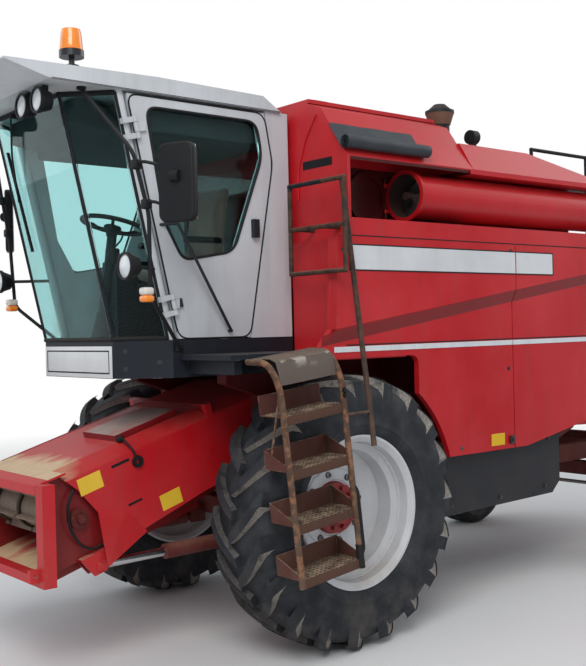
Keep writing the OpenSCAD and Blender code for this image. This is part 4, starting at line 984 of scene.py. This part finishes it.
class HARVESTER_OT_ladder(bpy.types.Operator):
    """Ladder of bent tubes with treads, their perforations painted as dark dots of shade"""
    bl_idname = "harvester.ladder"
    bl_label = "Ladder"

    # Inner and outer edge of the treads, half the width between the tubes, half a tread's length, and heights
    NEAR, FAR, OUT, HALF_TREAD = 1.225, 1.4215, 0.215, 0.220
    TREADS = tuple(-0.292 * step - 0.020 for step in range(1, 5))

    def execute(self, context):
        near, far, out, half = self.NEAR, self.FAR, self.OUT, self.HALF_TREAD
        with piece_mesh("ladder_tubes", "Rusted paint", lines=LADDER, stands_for="ladder") as mesh:
            for y in (-out, out):
                add_pipe(mesh, [(1.166, y, -0.018), (near + 0.12, y, -0.020), (far, y, -0.150),
                                (far, y, -1.226)], 0.0175, sides=16, bend=0.09)
            add_rod(mesh, (near + 0.03, -out, -0.60), (far, -out - 0.004, -0.16), 0.006)
        with piece_mesh("ladder_treads", "Tread with painted holes", lines=LADDER) as mesh:
            for z in self.TREADS:
                add_block(mesh, (near, -half, z), (far + 0.006, half, z + 0.006), 0.002, 1)
                add_block(mesh, (far - 0.002, -half, z - 0.044), (far + 0.006, half, z + 0.004), 0.003)
        with piece_mesh("ladder_backs", "Red-brown paint", lines=LADDER) as mesh:
            for z in self.TREADS:
                add_block(mesh, (near - 0.001, -half, z + 0.003), (near + 0.005, half, z + 0.112), 0.002, 1)
                for y in (-0.2225, 0.2185) if z != self.TREADS[0] else ():
                    add_outline(mesh, [(near, y, z + 0.004), (far, y, z + 0.004), (far, y, z + 0.030),
                                       (near, y, z + 0.112)], (0, 0.004, 0))
        with piece_mesh("ladder_top_sheet", "Scraped sheet", lines=LADDER, smooth=60.0) as mesh:
            rows = ((1.180, -0.006), (near + 0.11, -0.006), (near + 0.155, -0.022), (far - 0.022, -0.105),
                    (far - 0.019, -0.145))
            edges = open_row(mesh, [(x, -out + 0.02, z) for x, z in rows])
            sweep_edges(mesh, edges, Matrix.Translation((0, 2 * out - 0.04, 0)))
            bmesh.ops.solidify(mesh, geom=mesh.faces[:], thickness=0.004)
        with piece_mesh("ladder_clamps", "Black plastic", lines=LADDER) as mesh:
            add_pipe(mesh, [(far, out, -1.10), (far, out, -1.233)], 0.0215, sides=16)
            add_pipe(mesh, [(far + 0.004, out, -0.76), (far + 0.016, out + 0.018, -0.80),
                            (far + 0.016, out + 0.018, -1.13), (far + 0.004, out, -1.17)], 0.0095, sides=10,
                     bend=0.02)
            for z in (-0.235, -0.262):
                add_bolt(mesh, (far + 0.016, out, z), (1, 0, 0), 0.012, 0.010)
        return {"FINISHED"}


class HARVESTER_OT_cab_trim(bpy.types.Operator):
    """Seals, corner gussets, roof strip, front plate, wiper and bolts of the cab"""
    bl_idname = "harvester.cab_trim"
    bl_label = "Cab trim"

    WINDOW = ((-1.000, 2.530), (-1.105, 3.165), (-0.330, 3.165), (-0.292, 2.956), (-0.520, 2.375),
              (-0.880, 2.315))
    DOOR_EDGE = ((-0.921, 1.866), (-1.224, 3.224), (-0.267, 3.224), (-0.210, 2.920), (-0.409, 1.866))

    def execute(self, context):
        for name, body, flip in (("left", "door", 1), ("right", "machine", -1)):
            with piece_mesh("door_seals_" + name, "Seal rubber", body, smooth=60.0) as mesh:
                self.add_loop(mesh, flip * (CAB_X + 0.0015), self.WINDOW, 0.0085, 0.075)
                self.add_loop(mesh, flip * (CAB_X - 0.0015), self.DOOR_EDGE, 0.0055, 0.07)
            with piece_mesh("window_corners_" + name, "Cab paint", body) as mesh:
                self.add_gussets(mesh, flip * (CAB_X - 0.006), flip * 0.0062)
        self.pane_rubber()
        self.roof_pieces()
        self.front_plate()
        self.wiper()
        return {"FINISHED"}

    def add_loop(self, mesh, x, outline, radius, bend):
        """A seal round an opening, closed in the middle of a side."""
        points = [Vector((x, y, z)) for y, z in outline]
        start = (points[0] + points[-1]) / 2
        add_pipe(mesh, [start, *points, start], radius, sides=8, bend=bend)

    def add_gussets(self, mesh, x, depth):
        """Plates that round the window's corners."""
        points = [Vector((x, y, z)) for y, z in self.WINDOW]
        for before, corner, after in zip(points[-1:] + points, points, points[1:] + points[:1]):
            curve = rounded_route([before, corner, after], 0.075)[1:-1]
            add_outline(mesh, [corner, *curve], (depth, 0, 0))

    def pane_rubber(self):
        """Rubber along the edges of the front panes."""
        mesh = bmesh.new()
        for x, y, radius in ((0.642, -0.972, 0.014), (0.425, GLASS_Y, 0.0075)):
            low, high = SILL_Z + 0.004, ROOF_Z - 0.01
            add_rod(mesh, (x, lean_y(y, low), low), (x, lean_y(y, high), high), radius)
        ends = (SILL_Z + 0.012, ROOF_Z - 0.016)
        for z in ends:
            add_rod(mesh, (0.425, lean_y(GLASS_Y, z), z), (0.645, lean_y(-0.980, z), z), 0.013)
        both_sides(mesh)
        for z in ends:
            add_rod(mesh, (-0.425, lean_y(GLASS_Y, z), z), (0.425, lean_y(GLASS_Y, z), z), 0.013)
        finish_piece(mesh, "pane_rubber", "Seal rubber", smooth=60.0)

    def roof_pieces(self):
        """The seal under the roof's edge, and the hatch on the roof."""
        with piece_mesh("roof_seal", "Seal rubber", mirrored=True) as mesh:
            add_block(mesh, (CAB_X + 0.012, -1.68, ROOF_Z - 0.0015), (CAB_X + 0.020, -0.15, ROOF_Z + 0.009),
                      0.003)
        with piece_mesh("roof_hatch", "Pale paint") as mesh:
            add_block(mesh, (-0.36, -0.94, ROOF_Z + 0.128), (0.36, -0.44, ROOF_Z + 0.138), 0.005)
            for x in (-0.25, 0.25):
                add_block(mesh, (x - 0.03, -0.45, ROOF_Z + 0.118), (x + 0.03, -0.415, ROOF_Z + 0.134), 0.003, 1)

    def front_plate(self):
        """The blank plate on the cab's base, the line along its edge, and the base's bolts."""
        with piece_mesh("front_plate", "White plate") as mesh:
            add_block(mesh, (-0.418, -1.2165, 1.648), (0.418, -1.2095, 1.832), 0.003)
        with piece_mesh("front_plate_line", "Seal rubber") as mesh:
            add_frame(mesh, (-0.392, 0.392), (1.672, 1.808), 0.008, -1.2175, 0.0035)
        with piece_mesh("cab_base_bolts", "Bolt steel", mirrored=True) as mesh:
            for x, y, z, turn in ((0.48, -1.158, 1.70, 45), (0.48, -1.158, 1.80, 45), (0.62, -1.02, 1.735, 45),
                                  (0.6745, -0.86, 1.735, 90), (0.6745, -0.62, 1.735, 90)):
                angle = math.radians(turn)
                add_bolt(mesh, (x, y, z), (math.sin(angle), -math.cos(angle), 0))

    def wiper(self):
        """The wiper: its shaft, bent arm, and blade with its rubber."""
        def on_glass(x, z, gap):
            return x, lean_y(GLASS_Y, z) - gap, z
        with piece_mesh("wiper", "Black plastic") as mesh:
            add_rod(mesh, on_glass(-0.12, 3.20, -0.01), on_glass(-0.12, 3.20, 0.045), 0.014)
            add_pipe(mesh, [on_glass(-0.12, 3.20, 0.04), on_glass(-0.22, 2.98, 0.042),
                            on_glass(-0.30, 2.72, 0.026)], 0.006, bend=0.03)
            for gap, radius in ((0.018, 0.008), (0.009, 0.004)):
                add_rod(mesh, on_glass(-0.315, 3.02, gap), on_glass(-0.29, 2.42, gap), radius)


class HARVESTER_OT_steering(bpy.types.Operator):
    """Steering column and wheel, tilted to the driver"""
    bl_idname = "harvester.steering"
    bl_label = "Steering"

    def execute(self, context):
        hub = Vector((0, -0.945, 2.575))
        foot = Vector((0, -1.050, SILL_Z + 0.0005))
        with piece_mesh("steering_column", "Black plastic", smooth=50.0) as mesh:
            add_block(mesh, (-0.060, -1.100, SILL_Z + 0.0005), (0.060, -1.000, SILL_Z + 0.020), 0.006)
            add_rod(mesh, foot + Vector((0, 0, 0.018)), foot.lerp(hub, 0.24), 0.058, 0.040, segments=24)
            add_rod(mesh, foot.lerp(hub, 0.22), foot.lerp(hub, 0.92), 0.030, segments=20)
            add_block(mesh, (-0.045, -0.985, 2.330), (0.045, -0.925, 2.430), 0.012, 3)
            add_pipe(mesh, [(0.040, -0.955, 2.440), (0.115, -0.960, 2.470), (0.150, -0.965, 2.500)], 0.006,
                     bend=0.02)
        tilted = Matrix.Translation(hub) @ Matrix.Rotation(math.radians(-14), 4, "X")
        with piece_mesh("steering_wheel", "Black plastic", lines=tilted, smooth=60.0,
                        stands_for="steering") as mesh:
            angles = [math.tau * index / 12 for index in range(12)]
            rim = [(0.190 + 0.0145 * math.cos(angle), 0.0145 * math.sin(angle)) for angle in angles]
            add_turned(mesh, rim, (0, 0, 0), (0, 0, 1), steps=64)
            add_turned(mesh, [(0.0005, -0.075), (0.030, -0.075), (0.036, -0.050), (0.052, -0.034),
                              (0.056, -0.016), (0.048, -0.006), (0.0005, -0.002)], (0, 0, 0), (0, 0, 1),
                       steps=32)
            for angle in (90, 210, 330):
                way = Vector((math.cos(math.radians(angle)), math.sin(math.radians(angle)), 0))
                low = Vector((0, 0, -0.028))
                add_pipe(mesh, [way * 0.040 + low, way * 0.095 + low, way * 0.150, way * 0.186], 0.0105,
                         sides=10, bend=0.03)
        return {"FINISHED"}


class HARVESTER_OT_interior(bpy.types.Operator):
    """Seat cushions and headliner inside the cab"""
    bl_idname = "harvester.interior"
    bl_label = "Cab interior"

    # Pressure in the cushions, how far a place may swell, size of the mesh's squares, steps of the cloth
    PRESSURE, FARTHEST, VOXEL, STEPS = 4.0, 0.014, 0.012, 20

    def execute(self, context):
        back = Matrix.Translation((0, -0.33, SILL_Z + 0.46)) @ Matrix.Rotation(math.radians(-8), 4, "X")
        base = self.cushion("seat_cushion", (-0.235, -0.695, SILL_Z + 0.370), (0.235, -0.250, SILL_Z + 0.468))
        rest = self.cushion("seat_back", (-0.225, 0.004, 0.02), (0.225, 0.086, 0.555), back)
        with piece_mesh("seat_stand", "Black plastic", stands_for="seat") as mesh:
            add_block(mesh, (-0.225, -0.66, SILL_Z + 0.30), (0.225, -0.27, SILL_Z + 0.368), 0.02, 3)
            add_rod(mesh, (0, -0.47, SILL_Z + 0.001), (0, -0.47, SILL_Z + 0.30), 0.13, 0.09, segments=24)
            for x in (-0.27, 0.27):
                add_block(mesh, (x - 0.025, -0.60, SILL_Z + 0.60), (x + 0.025, -0.33, SILL_Z + 0.64), 0.012, 3)
        with piece_mesh("headliner", "Headliner") as mesh:
            add_block(mesh, (-0.60, -1.16, ROOF_Z - 0.20), (0.60, -0.13, ROOF_Z - 0.012), 0.03)
            add_outline(mesh, [(-0.42, -1.40, ROOF_Z - 0.15), (0.42, -1.40, ROOF_Z - 0.15),
                               (0.42, -1.15, ROOF_Z - 0.19), (-0.42, -1.15, ROOF_Z - 0.19)], (0, 0, 0.13))
        return {"FINISHED"}

    def cushion(self, name, low, high, lines=None):
        """A cushion that fills the box between two corners: a rounded block, swollen as cloth."""
        mesh = bmesh.new()
        inset = Vector((0.016, 0.016, 0.016))
        add_block(mesh, Vector(low) + inset, Vector(high) - inset, 0.030, 3)
        piece = finish_piece(mesh, name, "Seat cloth", lines=lines, smooth=180.0)
        bpy.context.view_layer.objects.active = piece
        remesh = piece.modifiers.new("Remesh", "REMESH")
        remesh.mode, remesh.voxel_size = "VOXEL", self.VOXEL
        bpy.ops.object.modifier_apply(modifier=remesh.name)
        before = [vert.co.copy() for vert in piece.data.vertices]
        cloth = piece.modifiers.new("Cloth", "CLOTH")
        cloth.settings.use_pressure = True
        cloth.settings.uniform_pressure_force = self.PRESSURE
        cloth.settings.effector_weights.gravity = 0.0
        for step in range(1, self.STEPS + 1):
            bpy.context.scene.frame_set(step)
        bpy.ops.object.modifier_apply(modifier=cloth.name)
        for vert, start in zip(piece.data.vertices, before):
            moved = vert.co - start
            if moved.length > self.FARTHEST:
                vert.co = start + moved.normalized() * self.FARTHEST
        bpy.context.scene.frame_set(1)
        piece.data.shade_smooth()
        return piece


class HARVESTER_OT_mirrors(bpy.types.Operator):
    """Mirrors with rounded heads, clamps and marker lamps"""
    bl_idname = "harvester.mirrors"
    bl_label = "Mirrors"

    def execute(self, context):
        with piece_mesh("mirror_arms", "Black plastic", mirrored=True, smooth=50.0,
                        stands_for="mirrors") as mesh:
            add_pipe(mesh, [(0.600, -1.462, 3.228), (0.850, -1.300, 2.870), (0.880, -1.230, 2.540),
                            (0.855, -1.215, 2.100), (CAB_X + 0.020, -0.930, 1.815)], 0.0115, bend=0.05)
            add_rod(mesh, (0.600, -1.462, 3.226), (0.600, -1.462, 3.2397), 0.026)
            add_block(mesh, (CAB_X + 0.0043, -0.955, 1.795), (CAB_X + 0.022, -0.905, 1.835), 0.003, 1)
            for x, y, z in ((0.856, -1.286, 2.800), (0.875, -1.242, 2.590)):
                add_pipe(mesh, [(x, y, z), (x + 0.05, y + 0.01, z + 0.012), (0.975, -1.184, z - 0.015)], 0.009,
                         bend=0.03)
                add_block(mesh, (x - 0.022, y - 0.024, z - 0.026), (x + 0.024, y + 0.026, z + 0.026), 0.008)
        turned = Matrix.Translation((1.050, -1.150, 2.690)) @ Matrix.Rotation(math.radians(25), 4, "Z")
        with piece_mesh("mirror_heads", "Black plastic", mirrored=True, smooth=60.0) as mesh:
            add_block(mesh, (-0.110, -0.030, -0.210), (0.110, 0.022, 0.210))
            corners = [edge for edge in mesh.edges if abs(edge.verts[0].co.y - edge.verts[1].co.y) > 0.04]
            round_edges(mesh, corners, 0.048, 6)
            round_edges(mesh, [edge for edge in mesh.edges if edge.calc_face_angle(0.0) > 1.2], 0.014, 3)
            add_rod(mesh, (-0.02, -0.035, 0.03), (0.03, -0.035, 0.03), 0.030)
            bmesh.ops.transform(mesh, matrix=turned, verts=mesh.verts)
        with piece_mesh("mirror_glass", "Mirror silver", mirrored=True) as mesh:
            add_block(mesh, (-0.098, 0.021, -0.198), (0.098, 0.025, 0.198), 0.0015, 1)
            bmesh.ops.transform(mesh, matrix=turned, verts=mesh.verts)
        for name, paint, low, high in (("marker_amber", "Amber lens", 2.068, 2.106),
                                       ("marker_white", "Marker white", 2.106, 2.148)):
            with piece_mesh(name, paint, mirrored=True) as mesh:
                add_block(mesh, (0.822, -1.272, low), (0.884, -1.205, high), 0.014, 3)
        return {"FINISHED"}


class HARVESTER_OT_lamps(bpy.types.Operator):
    """Lenses and rims of the work lamps, lens of the beacon"""
    bl_idname = "harvester.lamps"
    bl_label = "Lamps"

    LAMPS = ((0.33, -1.680, 3.158, 0.062), (0.52, -1.680, 3.158, 0.062), (0.81, -1.340, 2.262, 0.066))

    def execute(self, context):
        with piece_mesh("lamp_lenses", "Clear lens", mirrored=True) as mesh:
            for *place, radius in self.LAMPS:
                add_turned(mesh, [(0.0005, 0.012), (radius * 0.6, 0.009), (radius, 0.0), (0.0005, -0.001)],
                           place, (0, -1, 0))
        with piece_mesh("lamp_rims", "Black plastic", mirrored=True) as mesh:
            for *place, radius in self.LAMPS:
                add_turned(mesh, [(radius - 0.002, -0.002), (radius - 0.002, 0.010), (radius + 0.009, 0.010),
                                  (radius + 0.009, -0.012)], place, (0, -1, 0))
        with piece_mesh("beacon_lens", "Amber lens") as mesh:
            add_turned(mesh, [(0.0605, 0.0), (0.0615, 0.012), (0.058, 0.05), (0.0545, 0.09), (0.050, 0.106),
                              (0.038, 0.1125), (0.0005, 0.1125), (0.0005, 0.0)],
                       (CAB_X - 0.04, -1.53, ROOF_Z + ROOF_RISE + 0.093), (0, 0, 1))
        return {"FINISHED"}


class HARVESTER_OT_side_trim(bpy.types.Operator):
    """Blank plates, stripe line and latches on the side covers"""
    bl_idname = "harvester.side_trim"
    bl_label = "Side trim"

    # The gap between the front panel and the side door, where the plate ends and where the covers end
    SEAM, PLATE_END, COVER_END = (1.4945, 1.5055), 1.92, 2.99

    def execute(self, context):
        plate, panel = HALF_WIDTH + SKIN_GAP, PANEL_X + SKIN_GAP
        for part, body, start, stop, back, end in (
                ("front", "machine", TANK_FRONT, self.SEAM[0], self.SEAM[0], TANK_FRONT),
                ("rear", "door_", self.SEAM[1], self.PLATE_END, self.COVER_END, self.PLATE_END - 0.008)):
            for side, flip in (("left", 1), ("right", -1)):
                rides = body + side if part == "rear" else body
                with piece_mesh("side_plate_%s_%s" % (part, side), "White plate", rides) as mesh:
                    add_block(mesh, (plate, start, 2.245), (plate + 0.003, stop, 2.395), 0.001, 1)
                    bmesh.ops.scale(mesh, vec=(flip, 1, 1), verts=mesh.verts)
                with piece_mesh("side_lines_%s_%s" % (part, side), "Seal rubber", rides) as mesh:
                    for low, high in (((start, 2.241), (stop, 2.249)), ((start, 2.391), (stop, 2.399)),
                                      ((end, 2.241), (end + 0.008, 2.399))):
                        add_block(mesh, (plate, *low), (plate + 0.0043, *high), 0.001, 1)
                    add_block(mesh, (panel, start, 1.799), (PANEL_X + 0.002, back, 1.806))
                    add_block(mesh, (plate, start, 2.446), (HALF_WIDTH + 0.002, back, 2.452))
                    bmesh.ops.scale(mesh, vec=(flip, 1, 1), verts=mesh.verts)
        with piece_mesh("side_yellow_plates", "Yellow plate", mirrored=True) as mesh:
            add_block(mesh, (panel, 1.25, 1.085), (PANEL_X + 0.002, 1.39, 1.165), 0.001, 1)
        with piece_mesh("side_latches", "Bolt steel", mirrored=True) as mesh:
            add_block(mesh, (panel, 1.440, 1.085), (PANEL_X + 0.016, 1.488, 1.140), 0.005)
            add_bolt(mesh, (PANEL_X + 0.015, 1.464, 1.112), (1, 0, 0), 0.010, 0.008)
            for x, y, z in ((HALF_WIDTH, -0.10, 2.36), (PANEL_X, 0.20, 1.93), (HALF_WIDTH, 1.45, 2.40),
                            (PANEL_X, 1.45, 1.60), (PANEL_X, 0.95, 1.10)):
                add_bolt(mesh, (x, y, z), (1, 0, 0), 0.010, 0.006)
            for y, z in ((0.90, 1.06), (1.95, 1.08), (0.90, 0.72), (1.90, 0.74), (1.4, 1.05), (1.4, 0.72)):
                add_bolt(mesh, (1.072, y, z), (1, 0, 0), 0.014, 0.010)
        return {"FINISHED"}


class HARVESTER_OT_feeder_trim(bpy.types.Operator):
    """Blank plates, hoses, shoulder plates and drum bearings of the feeder house"""
    bl_idname = "harvester.feeder_trim"
    bl_label = "Feeder house trim"

    SKIN = 0.4502
    HEAD = (0.352, -0.989, 0.192)
    DRUM_Y, DRUM_Z = -1.40, -0.10

    def execute(self, context):
        skin, settings = self.SKIN, {"body": "feeder", "lines": FEEDER}
        with piece_mesh("feeder_yellow_plates", "Yellow plate", mirrored=True, **settings) as mesh:
            add_block(mesh, (skin, -1.365, 0.020), (skin + 0.002, -1.215, 0.118), 0.0008, 1)
            add_block(mesh, (skin, -0.900, -0.275), (skin + 0.002, -0.755, -0.180), 0.0008, 1)
        with piece_mesh("feeder_black_parts", "Black plastic", smooth=50.0, **settings) as mesh:
            add_pipe(mesh, [(0.352, -0.989, 0.190), (0.360, -0.989, 0.232), (0.462, -0.986, 0.150),
                            (0.464, -0.976, 0.082)], 0.006, bend=0.02)
            add_turned(mesh, [(0.0005, 0.0), (0.020, 0.002), (0.026, 0.014), (0.020, 0.028), (0.0005, 0.032)],
                       self.HEAD, (0, 0, 1), steps=20)
            add_turned(mesh, [(0.014, 0.0), (0.014, 0.014), (0.034, 0.014), (0.036, 0.0)],
                       (skin, -0.973, 0.070), (1, 0, 0), steps=28)
            add_block(mesh, (skin - 0.001, -1.140, 0.094), (skin + 0.001, -1.020, 0.110))
            add_block(mesh, (skin - 0.001, -1.105, -0.154), (skin + 0.001, -1.010, -0.140))
            add_pipe(mesh, [(0.425, -1.385, 0.070), (0.440, -1.452, 0.010), (0.446, -1.482, -0.110),
                            (0.440, -1.452, -0.235), (0.428, -1.385, -0.295), (0.418, -1.290, -0.300)], 0.008,
                     bend=0.07)
        with piece_mesh("shoulder_plates", "Feeder paint and shade", mirrored=True, **settings) as mesh:
            for start, stop in ((-1.430, -0.432), (-0.388, 0.020)):
                add_outline(mesh, [(0.336, start, 0.1902), (0.336, start, 0.1932), (0.343, start, 0.1932),
                                   (0.446, start, 0.1400), (0.446, start, 0.1372), (0.343, start, 0.1890)],
                            (0, stop - start, 0))
        with piece_mesh("drum_bearings", "Dark red paint", mirrored=True, **settings) as mesh:
            for end, radius, segments in ((0.430, 0.055, 32), (0.452, 0.024, 24)):
                add_rod(mesh, (0.4005, self.DRUM_Y, self.DRUM_Z), (end, self.DRUM_Y, self.DRUM_Z), radius,
                        segments=segments)
            add_bolt_ring(mesh, (0.430, self.DRUM_Y, self.DRUM_Z), 0.040, 6, 30, (1, 0, 0), 0.007, 0.006)
        return {"FINISHED"}


class HARVESTER_OT_tank_trim(bpy.types.Operator):
    """Rolled tarpaulin, auger flight, handles and seams of the grain tank"""
    bl_idname = "harvester.tank_trim"
    bl_label = "Tank trim"

    # The tarpaulin's roll: inner and outer radius, turns, length along the machine in bands, thickness
    INNER, OUTER, TURNS, ROLL, BANDS, CLOTH = 0.010, 0.0395, 5.75, 0.71, 24, 0.0012

    def execute(self, context):
        self.tarpaulin()
        self.flight()
        for side, x in (("left", 0.70), ("right", -0.70)):
            with piece_mesh("lid_handle_" + side, "Black plastic", "lid_" + side) as mesh:
                add_pipe(mesh, [(x, 0.10, 3.309), (x, 0.10, 3.345), (x, 0.24, 3.345), (x, 0.24, 3.309)], 0.006,
                         bend=0.02)
        # Painted shade: black blocks stand for the dark slots across the tank's front
        with piece_mesh("tank_front_slots", "Black plastic", mirrored=True) as mesh:
            add_block(mesh, (0.772, TANK_FRONT - 0.0015, 2.880), (1.040, TANK_FRONT + 0.004, 2.930))
        with piece_mesh("tank_front_lines", "Red paint", mirrored=True) as mesh:
            add_pipe(mesh, [(0.905, TANK_FRONT - 0.005, 3.200), (0.80, TANK_FRONT - 0.006, 3.06),
                            (0.735, TANK_FRONT - 0.005, 2.90), (0.725, TANK_FRONT - 0.005, 2.70)], 0.006,
                     bend=0.05)
        return {"FINISHED"}

    def tarpaulin(self):
        """A sheet rolled up along the cover's lower edge, its free end lying up the slope."""
        slope = Vector((0.950 - HALF_WIDTH, 0, 3.235 - COVER_Z))
        up = slope.normalized()
        out = Vector((up.z, 0, -up.x))
        centre = Vector((HALF_WIDTH, 0, COVER_Z)) + slope * 0.16 + out * 0.0423
        route = []
        for index in range(101):
            share = index / 100
            angle = math.tau * self.TURNS * share
            radius = self.INNER + (self.OUTER - self.INNER) * share
            route.append(centre + (up * math.cos(angle) + out * math.sin(angle)) * radius)
        # The last turn runs off along the slope
        route += [centre - out * self.OUTER + up * step for step in (0.02, 0.05, 0.09, 0.14, 0.19)]
        mesh = bmesh.new()
        edges = open_row(mesh, [point + Vector((0, TANK_FRONT - 0.015, 0)) for point in route])
        for band in range(self.BANDS):
            edges = sweep_edges(mesh, edges, Matrix.Translation((0, self.ROLL / self.BANDS, 0)))
        rng = random.Random(7)
        for vert in mesh.verts:
            vert.co += out * 0.0015 * (1 + math.sin(vert.co.y * 23.0 + rng.random() * 0.6))
        bmesh.ops.solidify(mesh, geom=mesh.faces[:], thickness=self.CLOTH)
        piece = finish_piece(mesh, "tarpaulin", "Tarpaulin", smooth=60.0, doubles=0)
        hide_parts("tarp_roll")
        across = sum((b - a).length for a, b in zip(route, route[1:]))

    def flight(self):
        """The steel flight inside the auger's open end."""
        with piece_mesh("auger_flight", "Worn steel", "auger") as mesh:
            edges = open_row(mesh, [AUGER + Vector((reach, 0, 0)) for reach in (0.026, 0.130)])
            bmesh.ops.spin(mesh, geom=mesh.verts[:] + edges, cent=AUGER, axis=(0, 1, 0), dvec=(0, 0.25 / 28, 0),
                           angle=math.tau * 2.5, steps=70, use_merge=False, use_duplicate=False)
            bmesh.ops.solidify(mesh, geom=mesh.faces[:], thickness=0.004)


class HARVESTER_OT_rear_trim(bpy.types.Operator):
    """Grilles, pressed panels, lamps and a blank plate behind"""
    bl_idname = "harvester.rear_trim"
    bl_label = "Rear trim"

    def execute(self, context):
        with piece_mesh("hood_louvres", "Black plastic") as mesh:
            for x in (-0.30, 0.30):
                add_frame(mesh, (x - 0.26, x + 0.26), (2.600, 2.870), 0.018, 2.6202, 0.016)
                for z in (2.628 + row * 0.026 for row in range(9)):
                    start = x - 0.245
                    add_outline(mesh, [(start, 2.6205, z), (start, 2.6345, z - 0.010),
                                       (start, 2.6345, z - 0.007), (start, 2.6205, z + 0.004)], (0.49, 0, 0))
            for x in (-0.55, 0.55):
                for y in (1.00 + row * 0.055 for row in range(8)):
                    add_block(mesh, (x - 0.16, y, 3.1152), (x + 0.16, y + 0.032, 3.1232), 0.004)
        with piece_mesh("straw_hood_panels", "Red paint", mirrored=True) as mesh:
            outline = ((3.12, 1.18), (3.12, 2.33), (3.86, 2.27), (4.55, 1.93), (4.84, 1.38), (4.84, 1.20),
                       (4.48, 1.10))
            add_outline(mesh, [(0.6002, y, z) for y, z in outline], (0.004, 0, 0))
            for y in (3.42, 3.78, 4.14):
                top = 2.16 - max(0.0, y - 3.78) * 0.55
                add_block(mesh, (0.6040, y, 1.24), (0.6120, y + 0.05, top), 0.004)
        with piece_mesh("straw_hood_ribs", "Red paint", lines=HOOD_END) as mesh:
            for z in (-0.02, 0.12, 0.26):
                add_block(mesh, (-0.52, SKIN_GAP, z), (0.52, 0.008, z + 0.035), 0.004)
        self.lamps()
        with piece_mesh("rear_plate", "White plate", lines=HOOD_END) as mesh:
            add_block(mesh, (-0.132, SKIN_GAP, -0.267), (0.132, 0.0045, -0.143), 0.001, 1)
        return {"FINISHED"}

    def lamps(self):
        """Rims of the lamps and of the plate between them, red and amber lenses on each side."""
        lenses = (("rear_lamps_red", "Red lens", 0.37), ("rear_lamps_amber", "Amber lens", 0.49))
        mesh = bmesh.new()
        for name, paint, x in lenses:
            add_turned(mesh, [(0.041, 0.0003), (0.041, 0.012), (0.050, 0.012), (0.052, 0.0003)], (x, 0, -0.20),
                       (0, 1, 0))
        both_sides(mesh)
        add_frame(mesh, (-0.135, 0.135), (-0.270, -0.140), 0.006, 0.0035, 0.003)
        finish_piece(mesh, "rear_lamp_rims", "Black plastic", lines=HOOD_END)
        for name, paint, x in lenses:
            with piece_mesh(name, paint, mirrored=True, lines=HOOD_END) as mesh:
                add_turned(mesh, [(0.0005, 0.020), (0.030, 0.017), (0.042, 0.002), (0.0005, 0.001)],
                           (x, 0, -0.20), (0, 1, 0))


class HARVESTER_PT_panel(bpy.types.Panel):
    """Colours, sizes and pieces of the combine harvester"""
    bl_idname = "HARVESTER_PT_panel"
    bl_label = "Combine harvester"
    bl_space_type = "VIEW_3D"
    bl_region_type = "UI"
    bl_category = "Harvester"

    def draw(self, context):
        scene = context.scene
        for title, settings in (("Colours", scene.harvester_colours), ("Tyres", scene.harvester_tyres),
                                ("Wear", scene.harvester_wear)):
            box = self.layout.box()
            box.label(text=title)
            for key in settings.__annotations__:
                box.prop(settings, key)
        column = self.layout.column(align=True)
        for operator in OPERATORS:
            column.operator(operator.bl_idname)


OPERATORS = (HARVESTER_OT_stage, HARVESTER_OT_paint, HARVESTER_OT_front_tyres, HARVESTER_OT_rear_tyres,
             HARVESTER_OT_rims, HARVESTER_OT_ladder, HARVESTER_OT_cab_trim, HARVESTER_OT_steering,
             HARVESTER_OT_interior, HARVESTER_OT_mirrors, HARVESTER_OT_lamps, HARVESTER_OT_side_trim,
             HARVESTER_OT_feeder_trim, HARVESTER_OT_tank_trim, HARVESTER_OT_rear_trim)
CLASSES = (HarvesterColours, HarvesterTyres, HarvesterWear, *OPERATORS, HARVESTER_PT_panel)


def register():
    for item in CLASSES:
        bpy.utils.register_class(item)
    bpy.types.Scene.harvester_colours = PointerProperty(type=HarvesterColours)
    bpy.types.Scene.harvester_tyres = PointerProperty(type=HarvesterTyres)
    bpy.types.Scene.harvester_wear = PointerProperty(type=HarvesterWear)


def unregister():
    del bpy.types.Scene.harvester_wear
    del bpy.types.Scene.harvester_tyres
    del bpy.types.Scene.harvester_colours
    for item in reversed(CLASSES):
        bpy.utils.unregister_class(item)


def main():
    register()
    bpy.ops.harvester.stage()
    bpy.ops.harvester.paint()
    bpy.ops.harvester.front_tyres()
    bpy.ops.harvester.rear_tyres()
    bpy.ops.harvester.rims()
    bpy.ops.harvester.ladder()
    bpy.ops.harvester.cab_trim()
    bpy.ops.harvester.steering()
    bpy.ops.harvester.interior()
    bpy.ops.harvester.mirrors()
    bpy.ops.harvester.lamps()
    bpy.ops.harvester.side_trim()
    bpy.ops.harvester.feeder_trim()
    bpy.ops.harvester.tank_trim()
    bpy.ops.harvester.rear_trim()


if __name__ == "__main__":
    main()
